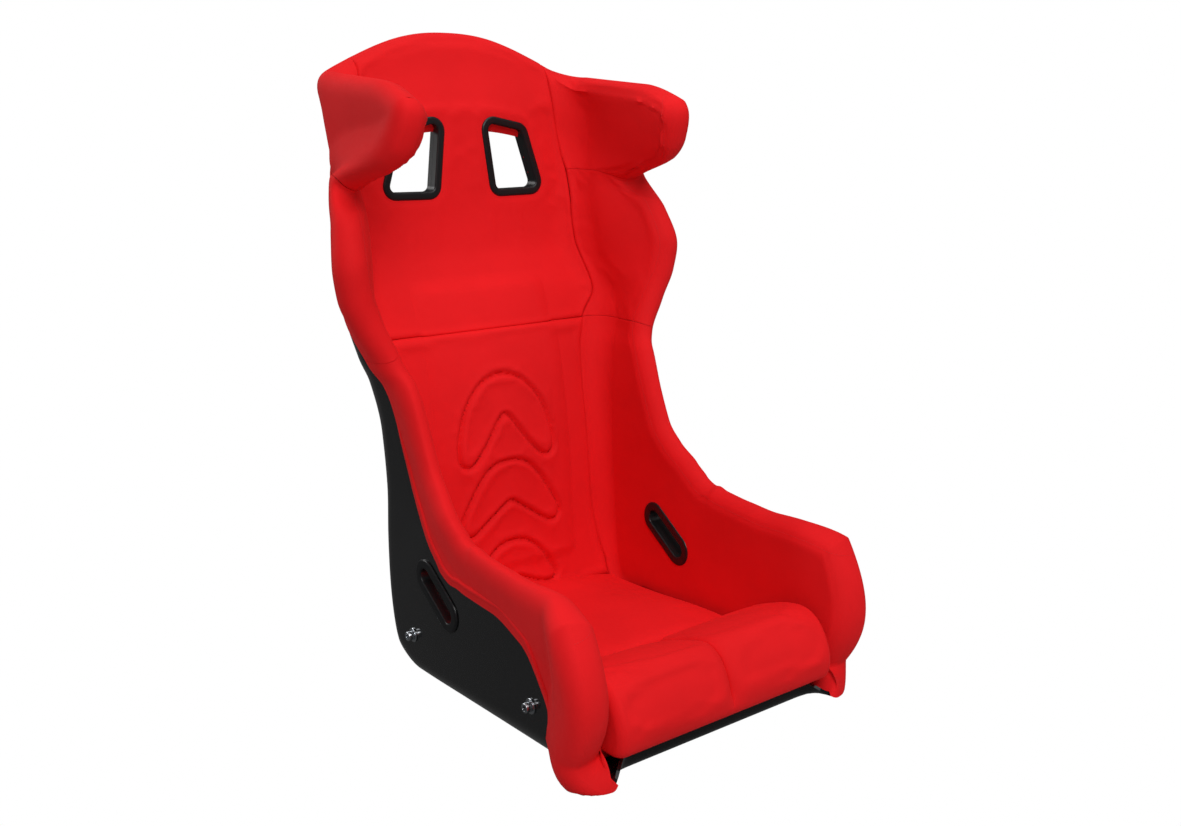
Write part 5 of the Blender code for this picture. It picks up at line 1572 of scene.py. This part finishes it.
def grow(name: str, base: bpy.types.Object, tree: bpy.types.NodeTree, values: Dict[str, object]
         ) -> bpy.types.Object:
    """Runs a tree on a base object and returns the result as a plain mesh.

    Args:
        name: name of the new piece.
        base: object that the tree works on; it is removed.
        tree: the Geometry Nodes tree.
        values: the tree's inputs by name.

    Returns:
        The new piece.
    """
    step = base.modifiers.new("grow", "NODES")
    step.node_group = tree
    for item in tree.interface.items_tree:
        if item.item_type == "SOCKET" and item.in_out == "INPUT" and item.name in values:
            step[item.identifier] = values[item.name]
    base.update_tag()
    graph = bpy.context.evaluated_depsgraph_get()
    mesh = bpy.data.meshes.new_from_object(base.evaluated_get(graph))
    mesh.name = name
    bpy.data.objects.remove(base, do_unlink=True)
    made = bpy.data.objects.new(name, mesh)
    bpy.context.scene.collection.objects.link(made)
    mesh.shade_smooth()
    return made


def stitch_tree() -> bpy.types.NodeTree:
    """Stitches laid along lines, square to the cover under them."""
    build = GeometryTree("Stitches", {"Pitch": ("NodeSocketFloat", 0.0036),
                                      "Length": ("NodeSocketFloat", 0.0024),
                                      "Thickness": ("NodeSocketFloat", 0.0006),
                                      "Seed": ("NodeSocketInt", 1),
                                      "Material": ("NodeSocketMaterial", None)})
    given = build.start.outputs
    curve = build.node("GeometryNodeMeshToCurve", {0: given["Geometry"]})
    points = build.node("GeometryNodeCurveToPoints", {0: curve.outputs[0], "Length": given["Pitch"]},
                        mode="LENGTH")
    normal = build.node("GeometryNodeInputNamedAttribute", {"Name": "cover_normal"}, data_type="FLOAT_VECTOR")
    lift = build.node("FunctionNodeAlignRotationToVector", {"Vector": normal.outputs[0]}, axis="Z")
    turn = build.node("FunctionNodeAlignRotationToVector",
                      {"Rotation": lift.outputs[0], "Vector": points.outputs["Tangent"]},
                      axis="X", pivot_axis="Z")
    thread = build.node("GeometryNodeMeshUVSphere", {"Segments": 8, "Rings": 5, "Radius": 0.5})
    uneven = build.node("FunctionNodeRandomValue", {"Min": 0.9, "Max": 1.1, "Seed": given["Seed"]},
                        data_type="FLOAT")
    length = build.math("MULTIPLY", given["Length"], uneven.outputs[1])
    size = build.node("ShaderNodeCombineXYZ", {0: length, 1: given["Thickness"], 2: given["Thickness"]})
    place = build.node("GeometryNodeInstanceOnPoints",
                       {"Points": points.outputs["Points"], "Instance": thread.outputs["Mesh"],
                        "Rotation": turn.outputs[0], "Scale": size.outputs[0]})
    build.finish(place.outputs[0])
    return build.tree


def roll_tree() -> bpy.types.NodeTree:
    """A round roll of cloth swept along a line."""
    build = GeometryTree("Rolled hem", {"Radius": ("NodeSocketFloat", 0.005),
                                        "Step": ("NodeSocketFloat", 0.004),
                                        "Material": ("NodeSocketMaterial", None)})
    given = build.start.outputs
    curve = build.node("GeometryNodeMeshToCurve", {0: given["Geometry"]})
    even = build.node("GeometryNodeResampleCurve", {0: curve.outputs[0], "Length": given["Step"]},
                      mode="LENGTH")
    circle = build.node("GeometryNodeCurvePrimitiveCircle", {"Resolution": 14, "Radius": given["Radius"]})
    tube = build.node("GeometryNodeCurveToMesh", {"Curve": even.outputs[0], "Fill Caps": True,
                                                  "Profile Curve": circle.outputs[0]})
    build.finish(tube.outputs[0])
    return build.tree


def line_object(name: str, lines: Sequence[Line]) -> bpy.types.Object:
    """Lines as edges, with the cover's normal kept on each point."""
    points: List[Sequence[float]] = []
    edges: List[Tuple[int, int]] = []
    normals: List[Sequence[float]] = []
    for line in lines:
        start = len(points)
        points += line.points.tolist()
        normals += line.normals.tolist()
        edges += [(start + k, start + k + 1) for k in range(len(line.points) - 1)]
    mesh = bpy.data.meshes.new(name)
    mesh.from_pydata(points, edges, [])
    kept = mesh.attributes.new("cover_normal", "FLOAT_VECTOR", "POINT")
    kept.data.foreach_set("vector", np.array(normals, np.float32).ravel())
    made = bpy.data.objects.new(name, mesh)
    bpy.context.scene.collection.objects.link(made)
    return made


@dataclass
class Needlework:
    """Top stitches along the covers' borders, and the rolled hems round the shell."""

    upholstery: Upholstery
    roll_radius: float = 0.0052
    lower_roll_radius: float = 0.0030

    def stitches(self, lines: Sequence[Line]) -> bpy.types.Object:
        """Builds the stitches along these lines."""
        base = line_object("stitch_lines", lines)
        made = grow("border_stitches", base, stitch_tree(), {"Pitch": 0.0036, "Length": 0.0025,
                    "Thickness": 0.0007, "Seed": 7, "Material": RED_THREAD.material()})
        RED_THREAD.dress(made)
        keep(made, "seat", RED_THREAD.slot)
        return made

    def hem_line(self, low: float, high: float, side: int, lift: float) -> Line:
        """The hem outside, up one side of the seat."""
        mould = self.upholstery.moulding
        run = np.linspace(low, high, 120)
        v = mould.along("hem", run) * side
        points, normals = mould.surface(run, v)
        return Line(points + normals * lift, normals)

    def arch_line(self, back: BackCover, high: float, lift: float) -> Line:
        """The arched hem on the back of the head, from left to right."""
        mould = self.upholstery.moulding
        reach = float(mould.along("hem", np.array(high)))
        v = np.linspace(-reach, reach, 160)
        run = np.maximum(back.hem_run(v), high)
        points, normals = mould.surface(run, v)
        return Line(points + normals * lift, normals)

    def rolls(self, back: BackCover, waist: float, join: float) -> None:
        """Builds the roll of the upper cover's hem and those of the lower covers."""
        lift = self.roll_radius * 0.62
        left = self.hem_line(waist, join, -1, lift)
        right = self.hem_line(waist, join, 1, lift)
        arch = self.arch_line(back, join, lift)
        points = np.concatenate([left.points, arch.points[1:-1], right.points[::-1]])
        normals = np.concatenate([left.normals, arch.normals[1:-1], right.normals[::-1]])
        points = soften(points, 14)
        self.roll("upper_hem_roll", [Line(points, normals)], self.roll_radius)
        lift = self.lower_roll_radius * 0.7
        for side, word in SIDES:
            line = self.hem_line(-0.455, waist - 0.004, side, lift)
            self.roll(f"lower_hem_roll_{word}", [line], self.lower_roll_radius)

    def roll(self, name: str, lines: Sequence[Line], radius: float) -> None:
        """Builds one roll."""
        made = grow(name, line_object(name + "_line", lines), roll_tree(),
                    {"Radius": radius, "Step": 0.004, "Material": RED_CLOTH.material()})
        turn_outwards(made)
        project_uv(made)
        RED_CLOTH.dress(made)
        keep(made, "seat", RED_CLOTH.slot)


def soften(points: Array, times: int) -> Array:
    """Rounds a line's corners by averaging neighbours."""
    for _ in range(times):
        inner = (points[:-2] + 2 * points[1:-1] + points[2:]) / 4
        points = np.concatenate([points[:1], inner, points[-1:]])
    return points


def project_uv(made: bpy.types.Object) -> None:
    """A plain UV map in metres from the side, for small pieces."""
    mesh = made.data
    corners = np.zeros(len(mesh.loops), np.int32)
    mesh.loops.foreach_get("vertex_index", corners)
    points = np.zeros(len(mesh.vertices) * 3, np.float32)
    mesh.vertices.foreach_get("co", points)
    points = points.reshape(-1, 3)
    flat = np.stack([points[:, 0] + points[:, 1], points[:, 2]], axis=1)
    layer = mesh.uv_layers.get("UVMap") or mesh.uv_layers.new(name="UVMap")
    layer.data.foreach_set("uv", flat[corners].ravel())


# ------------------------------------------------------------------- fasteners
def fastener_tree() -> bpy.types.NodeTree:
    """Four copies of a fastener, two on each side of the seat."""
    build = GeometryTree("Side fasteners", {"Rear Y": ("NodeSocketFloat", 0.1),
                                            "Spacing": ("NodeSocketFloat", 0.29),
                                            "Height": ("NodeSocketFloat", 0.063),
                                            "Half width": ("NodeSocketFloat", 0.205),
                                            "Material": ("NodeSocketMaterial", None)})
    given = build.start.outputs
    join = build.node("GeometryNodeJoinGeometry")
    back = build.math("MULTIPLY", given["Spacing"], -1.0)
    for side, _ in SIDES:
        half = build.math("MULTIPLY", given["Half width"], float(side))
        corner = build.node("ShaderNodeCombineXYZ", {0: half, 1: given["Rear Y"], 2: given["Height"]})
        offset = build.node("ShaderNodeCombineXYZ", {1: back})
        row = build.node("GeometryNodeMeshLine", {"Count": 2, "Start Location": corner.outputs[0],
                                                  "Offset": offset.outputs[0]})
        turn = build.node("FunctionNodeEulerToRotation", {0: (0.0, side * math.pi / 2, 0.0)})
        place = build.node("GeometryNodeInstanceOnPoints",
                           {"Points": row.outputs[0], "Instance": given["Geometry"],
                            "Rotation": turn.outputs[0]})
        build.link(place.outputs[0], join.inputs[0])
    build.finish(join.outputs[0])
    return build.tree


@dataclass
class SideFasteners:
    """Socket-head bolts with washers, and the inserts they hold in."""

    y_shift: float
    rear_y: float = 0.100
    spacing: float = 0.290
    height: float = 0.063
    half_width: float = 0.205
    head_radius: float = 0.0065
    head_height: float = 0.0080
    socket_apothem: float = 0.0030
    socket_depth: float = 0.0045
    shank_radius: float = 0.0039
    length: float = 0.0130
    washer_radius: float = 0.0100
    washer_thickness: float = 0.0016
    gap: float = 0.0003
    segments: int = 48

    def bolt(self) -> bpy.types.Object:
        """One bolt with its outer end at +Z: a knurled, bevelled head with a hexagon socket."""
        seat = self.washer_thickness + 2 * self.gap
        top = seat + self.head_height
        r, s = self.head_radius, self.socket_apothem
        profile = [(0.0, seat - self.length), (self.shank_radius - 0.0004, seat - self.length),
                   (self.shank_radius, seat - self.length + 0.0006), (self.shank_radius, seat),
                   (r - 0.0003, seat), (r, seat + 0.0004), (r, top - 0.0012), (r - 0.0003, top - 0.0005),
                   (r - 0.0009, top), (s + 0.0007, top), (s + 0.0001, top - 0.0004),
                   (s, top - self.socket_depth), (0.0, top - self.socket_depth - 0.0008)]
        hexagon = {10, 11}

        def reach(ring: int, turn: float, radius: float) -> float:
            if ring in hexagon:
                return radius / math.cos((turn % (math.pi / 3)) - math.pi / 6)
            if ring in (5, 6):
                return radius - 0.00012 * (0.5 + 0.5 * math.cos(turn * 24))
            return radius

        return turned("one_bolt", profile, self.segments, reach, 30)

    def washer(self) -> bpy.types.Object:
        """One plain washer with worn edges."""
        bore = self.shank_radius + self.gap
        low, high = self.gap, self.gap + self.washer_thickness
        profile = [(bore, low), (self.washer_radius - 0.0002, low), (self.washer_radius, low + 0.0002),
                   (self.washer_radius, high - 0.0004), (self.washer_radius - 0.0004, high), (bore, high)]
        return turned("one_washer", profile, self.segments, sharp=40)

    def build(self) -> None:
        """Builds bolts and washers, and dresses the inserts."""
        tree = fastener_tree()
        values = {"Rear Y": self.rear_y + self.y_shift, "Spacing": self.spacing, "Height": self.height,
                  "Half width": self.half_width, "Material": ZINC_PLATE.material()}
        for name, base in (("side_bolt", self.bolt()), ("side_washer", self.washer())):
            made = grow(name + "s", base, tree, values)
            made.data.set_sharp_from_angle(angle=math.radians(32))
            ZINC_PLATE.dress(made)
            nodes = [f"{name}_{end}_{word}" for end in ("front", "rear") for _, word in SIDES]
            keep(made, "seat", ZINC_PLATE.slot, *nodes)
        for end in ("front", "rear"):
            for _, word in SIDES:
                ZINC_PLATE.dress(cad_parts[f"threaded_insert_{end}_{word}"])


@dataclass
class HookTape:
    """Hook-and-loop strips on the base, hidden under the cushions."""

    nodes: Tuple[str, ...] = ("seat_cushion_strip_front", "seat_cushion_strip_rear",
                              "thigh_cushion_strip")

    def build(self) -> None:
        """Dresses the strips."""
        for node in self.nodes:
            HOOK_TAPE.dress(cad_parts[node])


# ---------------------------------------------------------------------- studio
@dataclass
class Studio:
    """Pale floor, soft light and the camera at the photograph's angle."""

    y_shift: float
    azimuth: float = -41.119
    elevation: float = 13.079
    roll: float = -0.087
    position: Tuple[float, float, float] = (-0.9801, -1.4078, 0.7570)
    focal_pixels: float = 1282.8
    centre_pixels: float = 120.0
    image_size: Tuple[int, int] = (1181, 826)
    sensor: float = 36.0
    whiteness: float = 1.0
    ambient: float = 0.15
    mirrored: float = 0.07

    def build(self) -> None:
        """Builds floor, lamps, world and camera."""
        self.floor()
        self.world()
        self.lamp("key_light", (-0.9, -2.4, 2.5), 1.6, 66.0)
        self.lamp("fill_light", (2.4, -1.6, 1.5), 1.6, 5.0)
        self.lamp("top_light", (0.2, -0.2, 2.8), 1.6, 20.0)
        self.lamp("rear_light", (-1.6, 2.6, 1.9), 1.6, 30.0)
        self.camera()
        scene = bpy.context.scene
        scene.view_settings.view_transform = "Standard"

    def floor(self) -> None:
        """A wide pale floor, its colour the same all over."""
        size = 14.0
        points = np.array([(-size, -size, 0), (size, -size, 0), (size, size, 0), (-size, size, 0)], float)
        made = new_mesh_object("studio_floor", points - np.array([0, 0, 0.0004]), [(0, 1, 2, 3)])
        look = bpy.data.materials.new("pale_floor")
        look.use_nodes = True
        shader = look.node_tree.nodes["Principled BSDF"]
        socket(shader, "Base Color", (0.55, 0.55, 0.55, 1.0))
        socket(shader, "Roughness", 0.9)
        socket(shader, "Specular IOR Level", 0.1)
        build = NodeTree(look.node_tree)
        path = build.node("ShaderNodeLightPath")
        white = build.node("ShaderNodeEmission")
        mix = build.node("ShaderNodeMixShader")
        seen = build.math("MULTIPLY", path.outputs["Is Camera Ray"], self.whiteness)
        build.link(build.math("MAXIMUM", seen, path.outputs["Is Glossy Ray"]), mix.inputs[0])
        dimmed = build.math("MULTIPLY", path.outputs["Is Glossy Ray"], 1.0 - self.mirrored)
        glow = build.math("SUBTRACT", 1.0, dimmed)
        build.link(glow, white.inputs["Strength"])
        build.link(shader.outputs[0], mix.inputs[1])
        build.link(white.outputs[0], mix.inputs[2])
        build.link(mix.outputs[0], look.node_tree.nodes["Material Output"].inputs["Surface"])
        made.data.materials.append(look)

    def world(self) -> None:
        """Even light from all round, white where the camera looks at it and dim where a gloss face looks at
        it.
        """
        world = bpy.data.worlds.new("studio_world")
        bpy.context.scene.world = world
        world.use_nodes = True
        build = NodeTree(world.node_tree)
        background = world.node_tree.nodes["Background"]
        path = build.node("ShaderNodeLightPath")
        seen = build.math("MULTIPLY", path.outputs["Is Camera Ray"], 1.0 - self.ambient)
        gloss = build.math("MULTIPLY", path.outputs["Is Glossy Ray"], self.mirrored - self.ambient)
        strength = build.math("ADD", build.math("ADD", seen, gloss), self.ambient)
        build.link(strength, background.inputs["Strength"])
        socket(background, "Color", (1.0, 1.0, 1.0, 1.0))

    def lamp(self, name: str, place: Tuple[float, float, float], size: float, power: float) -> None:
        """A square soft lamp that faces the middle of the seat."""
        data = bpy.data.lights.new(name, "AREA")
        data.shape = "SQUARE"
        data.size = size
        data.energy = power
        made = bpy.data.objects.new(name, data)
        made.location = place
        aim = Vector((0, 0, 0.42)) - Vector(place)
        made.rotation_euler = aim.to_track_quat("-Z", "Y").to_euler()
        bpy.context.scene.collection.objects.link(made)

    def camera(self) -> None:
        """The camera of the photograph's front view, with the seat in the middle."""
        a, e, r = (math.radians(k) for k in (self.azimuth, self.elevation, self.roll))
        back = Vector((math.sin(a) * math.cos(e), -math.cos(a) * math.cos(e), math.sin(e)))
        right = Vector((0, 0, 1)).cross(back).normalized()
        up = back.cross(right)
        x_axis = right * math.cos(r) + up * math.sin(r)
        y_axis = up * math.cos(r) - right * math.sin(r)
        data = bpy.data.cameras.new("photo_camera")
        data.sensor_fit = "HORIZONTAL"
        data.sensor_width = self.sensor
        data.lens = self.focal_pixels / self.image_size[0] * self.sensor
        data.shift_x = -self.centre_pixels / self.image_size[0]
        made = bpy.data.objects.new("photo_camera", data)
        place = Matrix((x_axis, y_axis, back)).transposed().to_4x4()
        place.translation = Vector(self.position) + Vector((0, self.y_shift, 0))
        made.matrix_world = place
        bpy.context.scene.collection.objects.link(made)
        bpy.context.scene.camera = made


# ------------------------------------------------------------------------ main
@dataclass
class RacingSeat:
    """The whole seat, put together from its sub-assemblies."""

    waist_run: float = 0.427
    notch_run: float = 0.655

    def build(self) -> None:
        """Builds every piece."""
        low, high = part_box("side_bolt_rear_left")
        fasteners = SideFasteners(0.0)
        shift = (low.y + high.y) / 2 - fasteners.rear_y
        moulding = Moulding(y_shift=shift)
        openings = Openings(shift)
        work = Upholstery(moulding, Outline(moulding))
        Shell(moulding, openings).build()
        lines = self.side_covers(work, openings)
        back = BackCover("upper_back_panel", work, self.waist_run + work.seam_gap, 0.0,
                         End.SEAM, End.TOP, seed=3, windows=openings.windows())
        back.build()
        LumbarCover("lumbar_pad", work, 0.018, self.waist_run - work.seam_gap, seed=4).build()
        SeatCushion(work).build()
        ThighCushion(work).build()
        Trim(openings).build()
        SideFasteners(shift).build()
        HookTape().build()
        needle = Needlework(work)
        needle.stitches(lines)
        needle.rolls(back, self.waist_run + 0.006, 0.683)
        Studio(shift).build()

    def side_covers(self, work: Upholstery, openings: Openings) -> List[Line]:
        """Builds bolsters and wings on both sides and returns their stitch lines."""
        gap = work.seam_gap
        lines = []
        for (side, word), slot in zip(SIDES, openings.slots()):
            thigh = SideCover(f"thigh_bolster_{word}", work, 0.0, self.waist_run - gap, End.FRONT,
                              End.SEAM, side=side, slot=slot, seed=11 + side)
            shoulder = SideCover(f"shoulder_bolster_{word}", work, self.waist_run + gap,
                                 self.notch_run - gap, side=side, seed=14 + side)
            wing = SideCover(f"head_wing_{word}", work, self.notch_run + gap, 0.0, End.SEAM, End.TOP,
                             side=side, crease=-0.0030, seed=17 + side)
            for cover in (thigh, shoulder, wing):
                cover.build()
                lines += list(cover.lines.values())
        return lines


def main() -> None:
    """Builds the seat in its studio."""
    logging.basicConfig(level=logging.INFO, format="%(name)s: %(message)s")
    knit_group()
    grain_group()
    RacingSeat().build()


if __name__ == "__main__":
    main()
